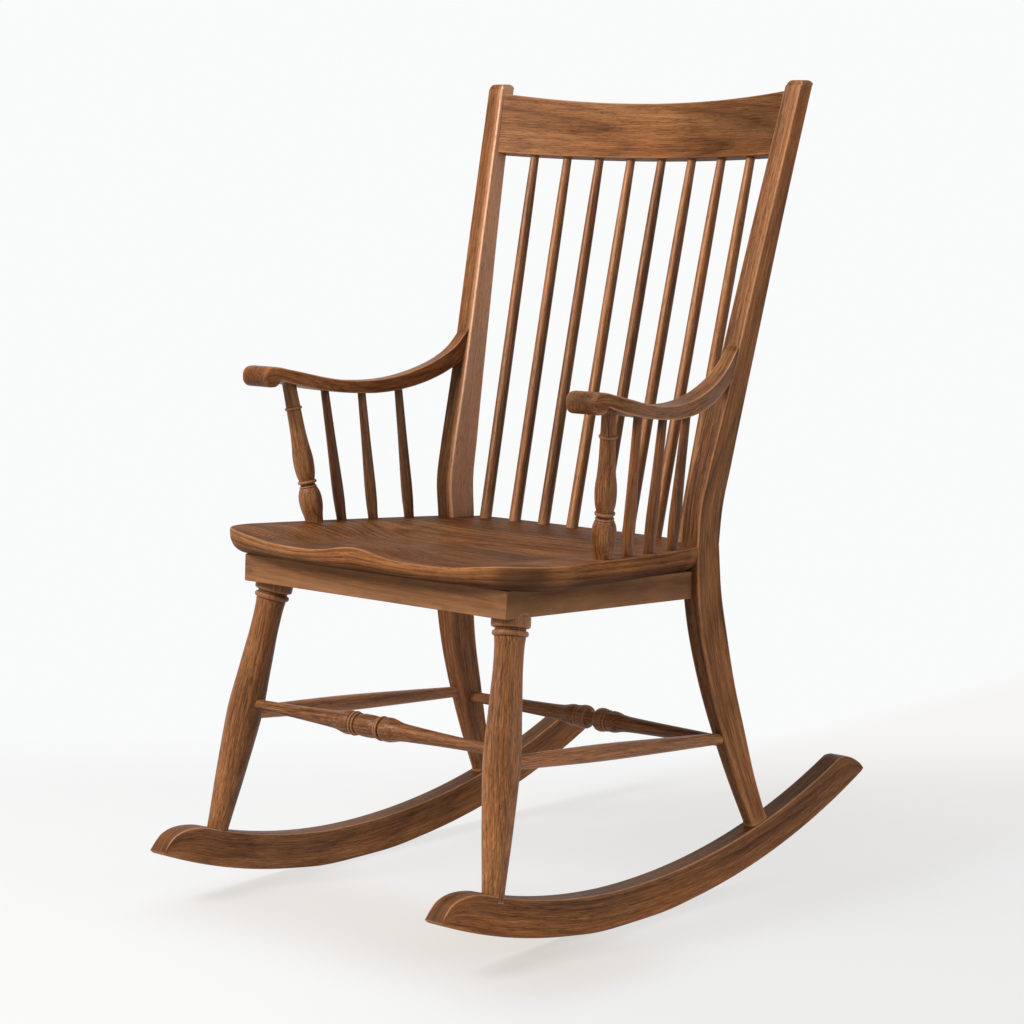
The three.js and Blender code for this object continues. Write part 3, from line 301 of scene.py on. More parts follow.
def lit_corners(count, steps, cuts, gain, corners=4):
    """Gains on the colour of a rounded section's points: painted highlights along its eased corners."""
    arc = [math.sin(math.pi * t / steps) ** 2 for t in range(steps + 1)] + [0.0] * cuts
    return [1 + gain * arc[k % len(arc)] * (k < corners * len(arc)) for k in range(count)]


def add_object(name, data):
    obj = bpy.data.objects.new(name, data)
    bpy.context.scene.collection.objects.link(obj)
    return obj


def skin(name, points, faces):
    mesh = bpy.data.meshes.new(name)
    mesh.from_pydata(points, [], faces)
    mesh.update()
    mesh.shade_smooth()
    return mesh


def solid(node, rings, grains, material, shift, tone, sharp_start=True, bevel=0.0):
    """The object that stands for a node of the solids: a closed skin over a row of equal rings, in millimetres.

    grains holds the wood's place of each point, or of each corner of a face. The skin has sharp ends or a bevel."""
    count = len(rings[0])
    points = [tuple(p) for p in world(np.concatenate(rings))]
    base = len(points) - count
    faces = [(k + i, k + (i + 1) % count, k + (i + 1) % count + count, k + count + i)
             for k in range(0, base, count) for i in range(count)]
    faces += [tuple(reversed(range(count))), tuple(range(base, base + count))]
    mesh = skin(node + "_wood", points, faces)
    if sum(poly.center.dot(poly.normal) * poly.area for poly in mesh.polygons) < 0:
        mesh.flip_normals()
    wood = np.concatenate(grains) / 1000.0 + shift
    place = mesh.attributes.new("grain", "FLOAT_VECTOR", "POINT" if len(wood) == len(points) else "CORNER")
    place.data.foreach_set("vector", wood.ravel())
    level = mesh.attributes.new("tone", "FLOAT", "POINT")
    level.data.foreach_set("value", np.asarray(tone, float))
    mesh.materials.append(material)
    obj = add_object(node + "_wood", mesh)
    if bevel:
        ease = obj.modifiers.new("eased_edges", "BEVEL")
        ease.width, ease.segments, ease.limit_method = bevel / 1000, 3, "ANGLE"
    else:
        starts = (0, base) if sharp_start else (base,)
        sharp = {tuple(sorted((k + i, k + (i + 1) % count))) for k in starts for i in range(count)}
        for edge in mesh.edges:
            edge.use_edge_sharp = tuple(sorted(edge.vertices)) in sharp
    normals = obj.modifiers.new("even_normals", "WEIGHTED_NORMAL")
    normals.keep_sharp, normals.weight = not bevel, NORMAL_WEIGHT
    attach(obj, "root")
    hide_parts(node)


def lathe(node, outline, foot, top, shift, tone, segments=56, ends=None, glint=0.0, foot_gain=1.0):
    """A turned piece: outline of (radius, height) pairs in millimetres from the foot towards the top.

    ends are the lengths that other pieces hide at the foot and the top of a spindle, which has painted shade towards
    them.
    glint is the gain of a spindle's painted highlight, and foot_gain the gain at the foot of a piece that fades
    there."""
    turn = np.array(Vector((0, 0, 1)).rotation_difference(Vector(top - foot)).to_matrix())
    angle = np.linspace(0, 2 * math.pi, segments, endpoint=False)
    circle = np.stack([np.cos(angle), np.sin(angle), np.zeros(segments)], 1)
    outward = circle @ turn.T
    # painted light on the key lamp's side, and a spindle's painted highlight
    around = tone * (1 + (SPINDLE_SHADING if ends else TURNED_SHADING) * outward @ LIGHT_SIDE)
    around = around * (1 + glint * np.maximum(0.0, outward @ GLINT_SIDE) ** GLINT_POWER)
    length = math.dist(foot, top)
    rings, grains, gains = [], [], []
    for radius, height in outline:
        level = around * mix(foot_gain, 1.0, smoothstep(height / length / 0.5))
        # painted shade towards the hidden ends
        if ends:
            level = level * mix(0.5, 1, smoothstep((height - ends[0]) / 13))
            level = level * mix(0.45, 1, smoothstep((length - ends[1] - height) / 15))
        gains.append(level)
        local = radius * circle + (0, 0, height)
        rings.append(local @ turn.T + foot)
        grains.append(local)
    solid(node, rings, grains, turned_wood, shift, np.concatenate(gains))


# Wood
WOOD_COLOURS = [(0.0, (0.020, 0.0065, 0.0019)), (0.25, (0.067, 0.0235, 0.0070)), (0.5, (0.153, 0.057, 0.0180)),
                (0.75, (0.256, 0.101, 0.034)), (1.0, (0.38, 0.162, 0.060))]
WARM_TINT, COOL_TINT = (1.06, 0.95, 0.84, 1), (0.94, 1.04, 1.12, 1)
# the paler colour that painted light takes on
PAINTED_LIGHT_PALE = (0.165, 0.095, 0.06, 1)
PORE_COLOUR = (0.028, 0.010, 0.004, 1)
KNOT_COLOUR = (0.016, 0.006, 0.003, 1)
WEAR_AND_HIGHLIGHT_COLOUR = (0.40, 0.19, 0.092, 1)
CREASE_SHADE_COLOUR = (0.020, 0.007, 0.003, 1)


class Nodes:
    """A material's node tree, built by calls that return the sockets they make."""

    def __init__(self, name):
        self.material = bpy.data.materials.new(name)
        self.material.use_nodes = True
        self.tree = self.material.node_tree
        self.tree.nodes.clear()

    def put(self, socket, value):
        if isinstance(value, bpy.types.NodeSocket):
            self.tree.links.new(value, socket)
        else:
            socket.default_value = value

    def add(self, kind, inputs=(), **settings):
        node = self.tree.nodes.new(kind)
        for key, value in settings.items():
            setattr(node, key, value)
        for key, value in dict(inputs).items():
            self.put(node.inputs[key], value)
        return node

    def math(self, operation, a, b=0.0, c=0.0, clamp=False):
        return self.add("ShaderNodeMath", {0: a, 1: b, 2: c}, operation=operation, use_clamp=clamp).outputs[0]

    def times(self, a, b):
        return self.math("MULTIPLY", a, b)

    def scaled(self, a, b, plus, clamp=False):
        return self.math("MULTIPLY_ADD", a, b, plus, clamp)

    def vector(self, operation, a, b=(0, 0, 0), gain=1.0):
        node = self.add("ShaderNodeVectorMath", {0: a, 1: b, 3: gain}, operation=operation)
        return node.outputs["Value" if operation == "LENGTH" else "Vector"]

    def noise(self, vector, stretch, detail=3.0, roughness=0.5, distortion=0.0):
        scaled = self.vector("MULTIPLY", vector, stretch)
        node = self.add("ShaderNodeTexNoise", {"Vector": scaled, "Scale": 1.0, "Detail": detail,
                                              "Roughness": roughness, "Distortion": distortion})
        return node.outputs["Fac"], node.outputs["Color"]

    def ramp(self, fac, stops, interpolation="LINEAR"):
        node = self.add("ShaderNodeValToRGB", {"Fac": fac})
        ramp = node.color_ramp
        ramp.interpolation = interpolation
        while len(ramp.elements) < len(stops):
            ramp.elements.new(0.5)
        for element, (at, value) in zip(ramp.elements, stops):
            element.position = at
            element.color = (value, value, value, 1) if isinstance(value, (int, float)) else (*value, 1)
        return node.outputs["Color"]

    def blend(self, fac, a, b, kind="MIX"):
        settings = dict(data_type="RGBA", blend_type=kind, clamp_factor=True)
        return self.add("ShaderNodeMix", {0: fac, 6: a, 7: b}, **settings).outputs[2]


def walnut(name, rings, contrast, ring_depth=0.16, streak_depth=0.75, warp=0.012, warp_scale=(8, 8, 2.2), knots=0.0,
           rough=0.5, figure=0.0, gloss=0.12, patches=(13, 13, 1.7)):
    """Oiled walnut: wandering growth rings, long streaks, fibres, pores, edges with wear and painted highlights, and
    painted shade in the creases.

    rings is their number in a metre across the wood; the scales of the noises are in features a metre."""
    n = Nodes(name)
    grain = n.add("ShaderNodeAttribute", attribute_name="grain").outputs["Vector"]
    tone = n.add("ShaderNodeAttribute", attribute_name="tone").outputs["Fac"]
    _, drift = n.noise(grain, warp_scale, 3.0, 0.55)
    drift = n.vector("MULTIPLY", n.vector("SUBTRACT", drift, (.5, .5, .5)), (warp, warp, warp))
    shifted = n.vector("ADD", grain, drift)
    # growth rings
    x, y, z = n.add("ShaderNodeSeparateXYZ", {0: shifted}).outputs
    flat = n.add("ShaderNodeCombineXYZ", {0: n.scaled(z, 0.05, x), 1: n.scaled(z, -0.03, y), 2: 0.0}).outputs[0]
    radius = n.vector("LENGTH", flat)
    wander, _ = n.noise(grain, (24, 24, 1.6), 2.0, 0.5)
    turns = n.math("ADD", n.times(radius, rings), n.times(wander, 2.2))
    ring = n.ramp(n.math("FRACT", turns), [(0.0, 0.35), (0.12, 0.0), (0.55, 0.25), (0.88, 1.0), (1.0, 0.35)], "EASE")
    # streaks, fibres and pores
    streaks, broad, lines, fibre, hair, specks = (n.noise(shifted, *row)[0] for row in (
        ((46, 46, 1.3), 5.0, 0.62), (patches, 2.0, 0.5), ((190, 190, 3.6), 4.0, 0.65), ((780, 780, 20), 3.0, 0.62),
        ((1700, 1700, 46), 2.0, 0.6), ((1200, 1200, 90), 1.5, 0.5)))
    pores = n.ramp(specks, [(0.60, 0.0), (0.67, 1.0)])
    value = 0.5
    for part, weight in ((streaks, streak_depth * 1.3), (broad, 0.9), (lines, 0.65), (fibre, 1.15), (hair, 0.95)):
        value = n.scaled(n.math("SUBTRACT", part, 0.5), weight * contrast, value)
    value = n.scaled(ring, -ring_depth * contrast, value)
    if figure:
        curl, _ = n.noise(shifted, (10, 10, 34), 2.0, 0.5, 0.6)
        value = n.scaled(n.math("SUBTRACT", curl, 0.5), figure, value)
    value = n.math("ADD", value, 0.05, clamp=True)
    # colour; where the tone is high with painted light, the wood is paler as well as lighter
    colour = n.ramp(value, WOOD_COLOURS)
    hue, _ = n.noise(grain, (17, 17, 3.1), 2.0, 0.5)
    tint = n.blend(n.ramp(hue, [(0.3, 0.0), (0.7, 1.0)]), WARM_TINT, COOL_TINT)
    colour = n.blend(1.0, colour, tint, "MULTIPLY")
    colour = n.blend(n.scaled(tone, 0.35, -0.45, clamp=True), colour, PAINTED_LIGHT_PALE)
    colour = n.vector("SCALE", colour, gain=tone)
    colour = n.blend(n.times(pores, 0.55), colour, PORE_COLOUR)
    if knots:
        _, y, z = n.add("ShaderNodeSeparateXYZ", {0: grain}).outputs
        scaled = n.add("ShaderNodeCombineXYZ", {0: n.times(y, 22.0), 1: n.times(z, 11.0)})
        cell = n.add("ShaderNodeTexVoronoi", {"Vector": scaled.outputs[0], "Scale": 1.0}, voronoi_dimensions="2D")
        dot = n.ramp(cell.outputs["Distance"], [(0.0, 1.0), (0.06, 0.95), (0.11, 0.0)])
        colour = n.blend(n.times(dot, knots), colour, KNOT_COLOUR)
    # wear and painted highlights on the edges, and painted shade in the creases
    point = n.add("ShaderNodeNewGeometry").outputs["Pointiness"]
    patch, _ = n.noise(grain, (60, 60, 22), 3.0, 0.6)
    wear_and_highlight = n.times(n.ramp(point, [(0.51, 0.0), (0.55, 1.0)]), n.scaled(patch, 0.5, 0.3))
    colour = n.blend(wear_and_highlight, colour, WEAR_AND_HIGHLIGHT_COLOUR)
    crease_shade = n.ramp(point, [(0.44, 1.0), (0.492, 0.0)])
    colour = n.blend(n.times(crease_shade, 0.75), colour, CREASE_SHADE_COLOUR)
    # surface
    smooth = n.scaled(fibre, 0.16, rough - 0.08)
    smooth = n.scaled(pores, 0.12, smooth)
    smooth = n.scaled(n.math("SUBTRACT", broad, 0.5), 0.14, smooth, clamp=True)
    relief = n.scaled(pores, -0.8, n.times(fibre, 0.5))
    relief = n.scaled(hair, 0.25, relief)
    bump = n.add("ShaderNodeBump", {"Strength": 0.38, "Distance": 0.0003, "Height": relief})
    shader = n.add("ShaderNodeBsdfPrincipled", {
        "Base Color": colour, "Roughness": smooth, "IOR": 1.46, "Specular IOR Level": gloss, "Coat Weight": 0.02,
        "Coat Roughness": 0.3, "Normal": bump.outputs[0]})
    n.add("ShaderNodeOutputMaterial", {"Surface": shader.outputs[0]})
    return n.material


sawn_wood = walnut("walnut_sawn", 150.0, 0.84)
rail_wood = walnut("walnut_rail", 210.0, 1.2, ring_depth=0.26, knots=0.9, gloss=0.02)
crest_wood = walnut("walnut_crest", 150.0, 0.7, ring_depth=0.2, warp=0.014, streak_depth=0.4, patches=(24, 24, 5),
                    gloss=0.07)
turned_wood = walnut("walnut_turned", 210.0, 0.9, rough=0.42, gloss=0.2)
arm_wood = walnut("walnut_arm", 190.0, 0.76, rough=0.4, gloss=0.1)
seat_wood = walnut("walnut_seat", 105.0, 0.68, ring_depth=0.34, warp=0.03, warp_scale=(5, 5, 2.4), figure=0.2,
                   rough=0.56, gloss=0.04, patches=(20, 20, 4))


def offset(seed, spread=0.06):
    """Where in the tree a piece was cut: metres across the grain twice, then along it."""
    rng = np.random.default_rng(seed)
    return (0.05 + spread * rng.random(), 0.03 + spread * rng.random(), 3.0 * rng.random())


# Rockers
ROCKER_TIP_PLACES = np.array([0, .008, .02, .045, .08, .13, .19, .26, .34, .44, .56, .7, .85, 1.0])
ROCKER_STATIONS = 76
ROCKER_TIP_LIFT, ROCKER_TIP_LIFT_LENGTH = 1.8, 5
ROCKER_EDGE = 2.4


def rocker_share(s):
    """Share of the rocker's full depth at a place along its under edge."""
    front = (s + ROCKER_FRONT_LENGTH) / ROCKER_FRONT_ROUND
    back = (ROCKER_BACK_LENGTH - ROCKER_BACK_EASE - s) / ROCKER_BACK_ROUND
    return min(along(ROCKER_FRONT_TIP, front), along(ROCKER_BACK_TIP, back), 1.0)


def make_rocker(word, side):
    front = -ROCKER_FRONT_LENGTH + ROCKER_TIP_PLACES * ROCKER_FRONT_ROUND
    back = ROCKER_BACK_LENGTH - ROCKER_BACK_EASE - ROCKER_TIP_PLACES[::-1] * ROCKER_BACK_ROUND
    stations = np.concatenate([front, np.linspace(front[-1], back[0], ROCKER_STATIONS)[1:-1], back])
    half = ROCKER_THICKNESS / 2
    middle = side * ROCKER_SPREAD / 2
    rings, grains, tone = [], [], []
    run, before = 0.0, None
    for s in stations:
        y, z, angle = rocker_arc(s)
        deep = ROCKER_DEPTH * rocker_share(s)
        from_tip = min(s + ROCKER_FRONT_LENGTH, ROCKER_BACK_LENGTH - ROCKER_BACK_EASE - s)
        low = rocker_lift(s) + ROCKER_TIP_LIFT * max(0.0, 1 - from_tip / ROCKER_TIP_LIFT_LENGTH) ** 2
        section = rounded(-half, half, low, max(deep, low + 1), min(ROCKER_EDGE, deep * 0.3), steps=4, cuts=3)
        rings.append([(middle + x, y - up * math.sin(angle), z + up * math.cos(angle)) for x, up in section])
        crown = (y - deep * math.sin(angle), z + deep * math.cos(angle))
        run += math.dist(crown, before or crown)
        before = crown
        grains.append([(x, ROCKER_DEPTH * up / max(deep, 1), run) for x, up in section])
        # painted highlights along both upper edges, painted shade on the top, and painted light on the far rocker
        # that fades backwards
        line = lit_corners(len(section), 4, 3, 1.5 * smoothstep(from_tip / 6), 2)
        whole = 1.1 if side > 0 else mix(1.45, 1.0, smoothstep((s + 50) / 200))
        tops = [1.02 - 0.4 * smoothstep((up - deep + 0.9) / 0.9) for _, up in section]
        tone += [whole * top * k for top, k in zip(tops, line)]
    solid("rocker_" + word, rings, grains, sawn_wood, offset(11 + side), tone)


# Back posts
def post_light_and_shade(side, x, y, z, edge):
    """Painted light and shade at a place in a post's wood: lighter at the top, and lightest on the far post's inner
    face.
    """
    high = smoothstep((z - 480) / 300)
    if side > 0:
        return mix(1.06, mix(0.82, 1.22, high), smoothstep((-y - 8) / 4)) * edge
    above_seat = smoothstep((z - 390) / 60)
    face = mix(1.12, mix(0.74, 1.18, high), above_seat)
    inner = mix(1.5, mix(3.3, 3.4, high), above_seat)
    level = mix(face, inner, smoothstep((5 - x - post_at(z)["width"] / 2) / 4))
    return level * mix(1.0, edge, 0.2 + 0.5 * high)


def make_post(word, side):
    foot = POST_FOOT_HEIGHT + 1
    rings, grains = [], []

    def add(height, level, shrink):
        outer, width, front, depth, radius = post_at(level).values()
        section = rounded(outer - width, outer, front, front + depth, radius, steps=5, cuts=2)
        cx, cy = outer - width / 2, front + depth / 2
        narrow, shallow = 1 - shrink / (width / 2), 1 - shrink / (depth / 2)
        section = [(cx + (x - cx) * narrow, cy + (y - cy) * shallow) for x, y in section]
        rings.append([(side * x, y, height) for x, y in section])
        grains.append([(x - cx, y - cy, height) for x, y in section])

    for height in np.linspace(foot, BACK_HEIGHT - POST_DOME, 96):
        add(height, height, 0.0)
    # the foot follows the rocker's top edge
    rings.insert(0, [(x, y, min(rocker_top(y) + GAP, foot + 8)) for x, y, _ in rings[0]])
    grains.insert(0, [(x, y, z - 1) for x, y, z in grains[0]])
    rings[1] = [(x, y, max(z, rocker_top(y) + 2)) for x, y, z in rings[1]]
    # the domed top
    for k in range(1, 8):
        turn = math.pi / 2 * k / 7
        add(BACK_HEIGHT - POST_DOME * (1 - math.sin(turn)), BACK_HEIGHT, POST_DOME_INSET * (1 - math.cos(turn)))
    # painted highlights along the post's corners
    line = lit_corners(len(rings[0]), 5, 2, 1.3)
    tone = [post_light_and_shade(side, x, y, z, edge) for ring in grains for (x, y, z), edge in zip(ring, line)]
    solid("back_post_" + word, rings, grains, sawn_wood, offset(23 + side), tone)


# Seat
SEAT_FRONT_HALF = SEAT_FRONT_WIDTH / 2
SEAT_BACK_HALF = POST_SPREAD / 2


def bezier(a, b, c, steps):
    t = np.linspace(0, 1, steps + 1)[:, None]
    a, b, c = (np.asarray(p, float) for p in (a, b, c))
    return (1 - t) ** 2 * a + 2 * t * (1 - t) * b + t ** 2 * c


def seat_half_outline():
    """The half outline on the +x side, in five parts from the middle of the back to the middle of the front."""
    reach = SEAT_FRONT_HALF - SEAT_CORNER_RADIUS
    corner_y = SEAT_FRONT_BOW * (1 + 2 * SEAT_CORNER_RADIUS / reach) - SEAT_DEPTH
    back_corner = (SEAT_BACK_HALF, SEAT_BACK_REACH - SEAT_BACK_ROUND)
    post_corner = (SEAT_BACK_HALF, 0)
    widest = (SEAT_FRONT_HALF, corner_y + SEAT_CORNER_RADIUS)
    bend = (mix(SEAT_BACK_HALF, SEAT_FRONT_HALF, 0.5) + 2 * SEAT_SIDE_BOW, widest[1] / 2)
    front_end = (reach, SEAT_FRONT_BOW - SEAT_DEPTH)
    return [bezier((0, SEAT_BACK_REACH), (SEAT_BACK_HALF / 2, SEAT_BACK_REACH), back_corner, 14),
            np.linspace(back_corner, post_corner, 5),
            bezier(post_corner, bend, widest, 24),
            bezier(widest, (SEAT_FRONT_HALF, corner_y), front_end, 16),
            bezier(front_end, (reach / 2, -SEAT_DEPTH), (0, -SEAT_DEPTH), 22)]


def seat_half_width(y):
    outline = np.concatenate(seat_half_outline()[1:])
    for a, b in zip(outline, outline[1:]):
        if a[1] >= y >= b[1] and a[1] > b[1]:
            return mix(a[0], b[0], (a[1] - y) / (a[1] - b[1]))
    return SEAT_BACK_HALF


def seat_hollow(x, y):
    """Depth of the carved top: two hollows for the thighs, with a ridge between them at the front."""
    forward = min(max(-y / SEAT_DEPTH, 0.0), 1.0)
    across = abs(x) / mix(SEAT_BACK_HALF, SEAT_FRONT_HALF, forward)
    pommel = math.exp(-(across / POMMEL_WIDTH) ** 2) * along(POMMEL_REACH, forward)
    hollow = along(DISH_SIDE, across) * along(DISH_DEPTH, forward)
    return SEAT_DISH * max(0.0, hollow) * min(1.0, 1 - pommel)


def inset(outline, by):
    before, after = np.roll(outline, 1, 0), np.roll(outline, -1, 0)
    run = after - before
    run /= np.linalg.norm(run, axis=1)[:, None]
    return outline + by * np.stack([run[:, 1], -run[:, 0]], 1)


# Rounded under edge: share of its height from the top, and of the undercut
SEAT_ROLL = [(0.18, 0.005), (0.3, 0.02), (0.42, 0.05), (0.54, 0.11), (0.65, 0.19), (0.75, 0.3), (0.84, 0.43),
             (0.91, 0.58), (0.96, 0.74), (0.985, 0.87), (1.0, 1.0)]
SEAT_ROUND_STEPS = 6  # of the upper edge's quarter circle


def seat_light_and_shade(ring, place, corner, top_rings):
    """Painted light and shade on the seat: a painted highlight on the upper edge, painted light on the side in front,
    and painted shade on the under edge and corner.
    """
    forward = smoothstep((-place[1] - 260) / 110)
    side = mix(0.9, 1.52, forward) * (1 - 0.7 * corner)
    down = (ring - top_rings) / SEAT_ROUND_STEPS
    if down < 0:
        return 1.0
    if down <= 1:
        return mix(1.0, side, down) + 0.9 * math.sin(math.pi * down) ** 2
    return side * mix(1.0, 0.3, smoothstep((ring - top_rings - 8) / 6))


def make_seat():
    half = np.concatenate([part[:-1] for part in seat_half_outline()])
    outline = np.concatenate([half, [(0, -SEAT_DEPTH)], (half[1:] * (-1, 1))[::-1]])
    centre = np.array([0, -SEAT_DEPTH / 2])
    inner = inset(outline, SEAT_EDGE_RADIUS)
    rings = []
    for share in (*np.linspace(0.02, 0.9, 46), 0.93, 0.955, 0.975, 0.99, 0.997):
        ring = (inner - centre) * share + centre
        rings.append([(x, y, -seat_hollow(x, y)) for x, y in ring])
    top_rings = len(rings)
    tops = np.array([-seat_hollow(x, y) for x, y in outline])
    for k in range(SEAT_ROUND_STEPS + 1):
        turn = math.pi / 2 * k / SEAT_ROUND_STEPS
        ring = inset(outline, SEAT_EDGE_RADIUS * (1 - math.sin(turn)))
        drop = SEAT_EDGE_RADIUS * (1 - math.cos(turn))
        rings.append([(x, y, t - drop) for (x, y), t in zip(ring, tops)])
    for down, under in SEAT_ROLL:
        ring = inset(outline, SEAT_UNDERCUT * under)
        rings.append([(x, y, mix(t - SEAT_EDGE_RADIUS, -SEAT_THICKNESS, down)) for (x, y), t in zip(ring, tops)])
    side_rings = len(rings)
    under = inset(outline, SEAT_UNDERCUT)
    for share in (0.9, 0.6, 0.3, 0.02):
        ring = (under - centre) * share + centre
        rings.append([(x, y, -SEAT_THICKNESS) for x, y in ring])
    # the wood's places, one for each corner of a face: the grain runs across the top, and on along the rounded side
    flat = [(y, z, x) for ring in rings for x, y, z in ring]
    count = len(outline)
    steps = np.linalg.norm(np.roll(outline, -1, 0) - outline, axis=1)
    run = np.concatenate([[0], np.cumsum(steps)])
    fall = [0.0]
    for a, b in zip(rings, rings[1:]):
        fall.append(fall[-1] + math.dist(a[0], b[0]))
    corners = []
    for k in range(len(rings) - 1):
        around = top_rings <= k < side_rings - 1
        for i in range(count):
            for ring, place in ((k, i), (k, i + 1), (k + 1, i + 1), (k + 1, i)):
                corners.append((0.3, fall[ring], run[place]) if around else flat[ring * count + place % count])
    corners += [flat[i] for i in reversed(range(count))] + [flat[(len(rings) - 1) * count + i] for i in range(count)]
    # between the posts the seat is as wide as the room there
    post = post_at(SEAT_HEIGHT)
    between = post["outer"] - post["width"] - GAP
    rings = [[(max(-between, min(between, x)) if y > 0.4 else x, y, z) for x, y, z in ring] for ring in rings]
    placed = [[on_seat(x, y, z) for x, y, z in ring] for ring in rings]
    # painted shade on the seat's near front corner
    outward = outline - inset(outline, 1.0)
    turned = [smoothstep((0.67 * x - 0.74 * y - 0.78) / 0.2) for x, y in outward]
    tone = [seat_light_and_shade(k, place, corner, top_rings)
            for k in range(len(rings)) for place, corner in zip(outline, turned)]
    solid("seat", placed, [corners], seat_wood, (0.11, 0.075, 0.4), tone)


# Apron
APRON_TOP = -SEAT_THICKNESS
APRON_UNDER = APRON_TOP - GAP - APRON_HEIGHT
APRON_FRONT = APRON_FRONT_SETBACK - SEAT_DEPTH


def apron_half_width(y):
    return mix(APRON_FRONT_WIDTH, APRON_BACK_WIDTH, (y - APRON_FRONT) / -APRON_FRONT) / 2


def prism(node, outline, low, high, lengthwise, shift, tone, bevel=1.3):
    """An upright prism in the seat's frame, with painted shade under the seat; lengthwise names the axis of its
    grain.
    """
    shade_levels = [(low, 1.0), (high - 14, 1.0), (high - 8, 0.72), (high, 0.3)]
    rings = [[on_seat(x, y, z) for x, y in outline] for z, _ in shade_levels]
    grains = [[(y, z, x) if lengthwise == "x" else (x, z, y) for x, y in outline] for z, _ in shade_levels]
    gains = [tone * gain for _, gain in shade_levels for _ in outline]
    solid(node, rings, grains, rail_wood, shift, gains, bevel=bevel)


def make_apron():
    inner = APRON_FRONT + APRON_THICKNESS
    outer_front, inner_front = apron_half_width(APRON_FRONT), apron_half_width(inner) - APRON_THICKNESS
    front = [(-outer_front, APRON_FRONT), (outer_front, APRON_FRONT), (inner_front, inner), (-inner_front, inner)]
    # the rails' low gains are painted shade under the seat
    prism("apron_front", front, APRON_UNDER, APRON_TOP, "x", offset(31), 0.58)
    back = 12.0  # where the side rails end, inside the posts
    outer_back = apron_half_width(back)
    rail = [(outer_front - .15, APRON_FRONT + .1), (outer_back, back), (outer_back - APRON_THICKNESS, back),
            (inner_front - .15, inner + .1)]
    start = inner + GAP
    end = start + CORNER_BLOCK_LEG
    outer = apron_half_width(start) - APRON_THICKNESS - GAP
    outer_end = apron_half_width(end) - APRON_THICKNESS - GAP
    block = [(outer - CORNER_BLOCK_LEG, start), (outer, start), (outer_end, end),
             (outer_end - CORNER_BLOCK_FACE, end), (outer - CORNER_BLOCK_LEG, start + CORNER_BLOCK_FACE)]
    for word, side in SIDES.items():
        rail_there, block_there = ([(side * x, y) for x, y in outline] for outline in (rail, block))
        prism("apron_side_" + word, rail_there, APRON_UNDER, APRON_TOP, "y", offset(33 + side), 0.21)
        prism("corner_block_" + word, block_there, APRON_UNDER + CORNER_BLOCK_DROP, APRON_TOP, "x", offset(37 + side),
              0.6, 0.8)
    post = post_at(on_seat(0, APRON_BACK_DISTANCE, APRON_UNDER + APRON_HEIGHT / 2)[2])
    reach = post["outer"] - post["width"] + 3
    near, far = APRON_BACK_DISTANCE, APRON_BACK_DISTANCE + BACK_RAIL_THICKNESS
    prism("apron_back", [(-reach, near), (reach, near), (reach, far), (-reach, far)], APRON_UNDER, APRON_TOP, "x",
          offset(41), 0.75)


# Front legs
LEG_TOP_Y = APRON_FRONT + LEG_FRONT_INSET
LEG_OUTLINE = (swept([(-.03, .6), (0, .6), (.034, .625), (.128, .72), (.207, .8), (.271, .855), (.336, .91),
                      (.415, .968), (.487, 1), (.56, .962), (.63, .905), (.72, .845), (.79, .795), (.86, .785),
                      (.9, .8), (.922, .835)])
               + bead(.9385, .0105, .82, .975) + [(.952, .83), (.9575, .83)]
               + quarter(.9585, .968, .88, 1.05, 4) + [(.985, 1.05), (.997, 1.04), (1.0, 1.02)])


def leg_ends(side):
    top = on_seat(side * (apron_half_width(LEG_TOP_Y) - LEG_SIDE_INSET), LEG_TOP_Y, APRON_UNDER - GAP)
    return np.array([side * ROCKER_SPREAD / 2, -LEG_FOOT_PLACE, rocker_top(-LEG_FOOT_PLACE) + GAP]), top


def leg_point(side, height):
    foot, top = leg_ends(side)
    return mix(foot, top, (height - foot[2]) / (top[2] - foot[2]))


def make_leg(word, side):
    foot, top = leg_ends(side)
    length = math.dist(foot, top)
    outline = [(LEG_RADIUS * size, length * share) for share, size in LEG_OUTLINE]
    outline.append((LEG_RADIUS * 0.98, length + 4))
    tone = 1.24 if side > 0 else 1.04
    lathe("front_leg_" + word, outline, foot, top, offset(51 + side, 0.03), tone)


# Stretchers
def doubled(half):
    """A whole outline from the half that starts at the middle."""
    upper = [((1 + share) / 2, size) for share, size in half]
    return [((1 - share) / 2, size) for share, size in reversed(half[1:])] + upper


FRONT_STRETCHER = doubled(
    swept([(0, .94), (.04, .925), (.07, .85)], 4) + bead(.0865, .0085, .78, .95, 8) + bead(.105, .0085, .8, 1.02, 8)
    + swept([(.116, .84), (.13, .96), (.165, 1), (.2, .91), (.25, .76), (.32, .69), (.6, .53), (.96, .41)]))
BACK_STRETCHER = doubled(
    swept([(0, .61), (.02, .62), (.032, .72)], 4) + bead(.067, .034, .74, 1.0, 12) + bead(.112, .010, .78, .91, 8)
    + swept([(.124, .82), (.138, .885), (.155, .9), (.178, .86), (.22, .72), (.3, .635), (.6, .53), (.97, .44)]))
SIDE_STRETCHER = swept([(.0, .72), (.07, .8), (.25, .94), (.45, 1), (.7, .88), (.93, .72), (1, .66)])


def make_stretcher(name, outline, radius, start, end, seed, tone, foot_gain=1.0):
    length = math.dist(start, end)
    outline = [(radius * size, length * share) for share, size in outline]
    lathe(name, outline, start, end, offset(seed, 0.03), tone, foot_gain=foot_gain)


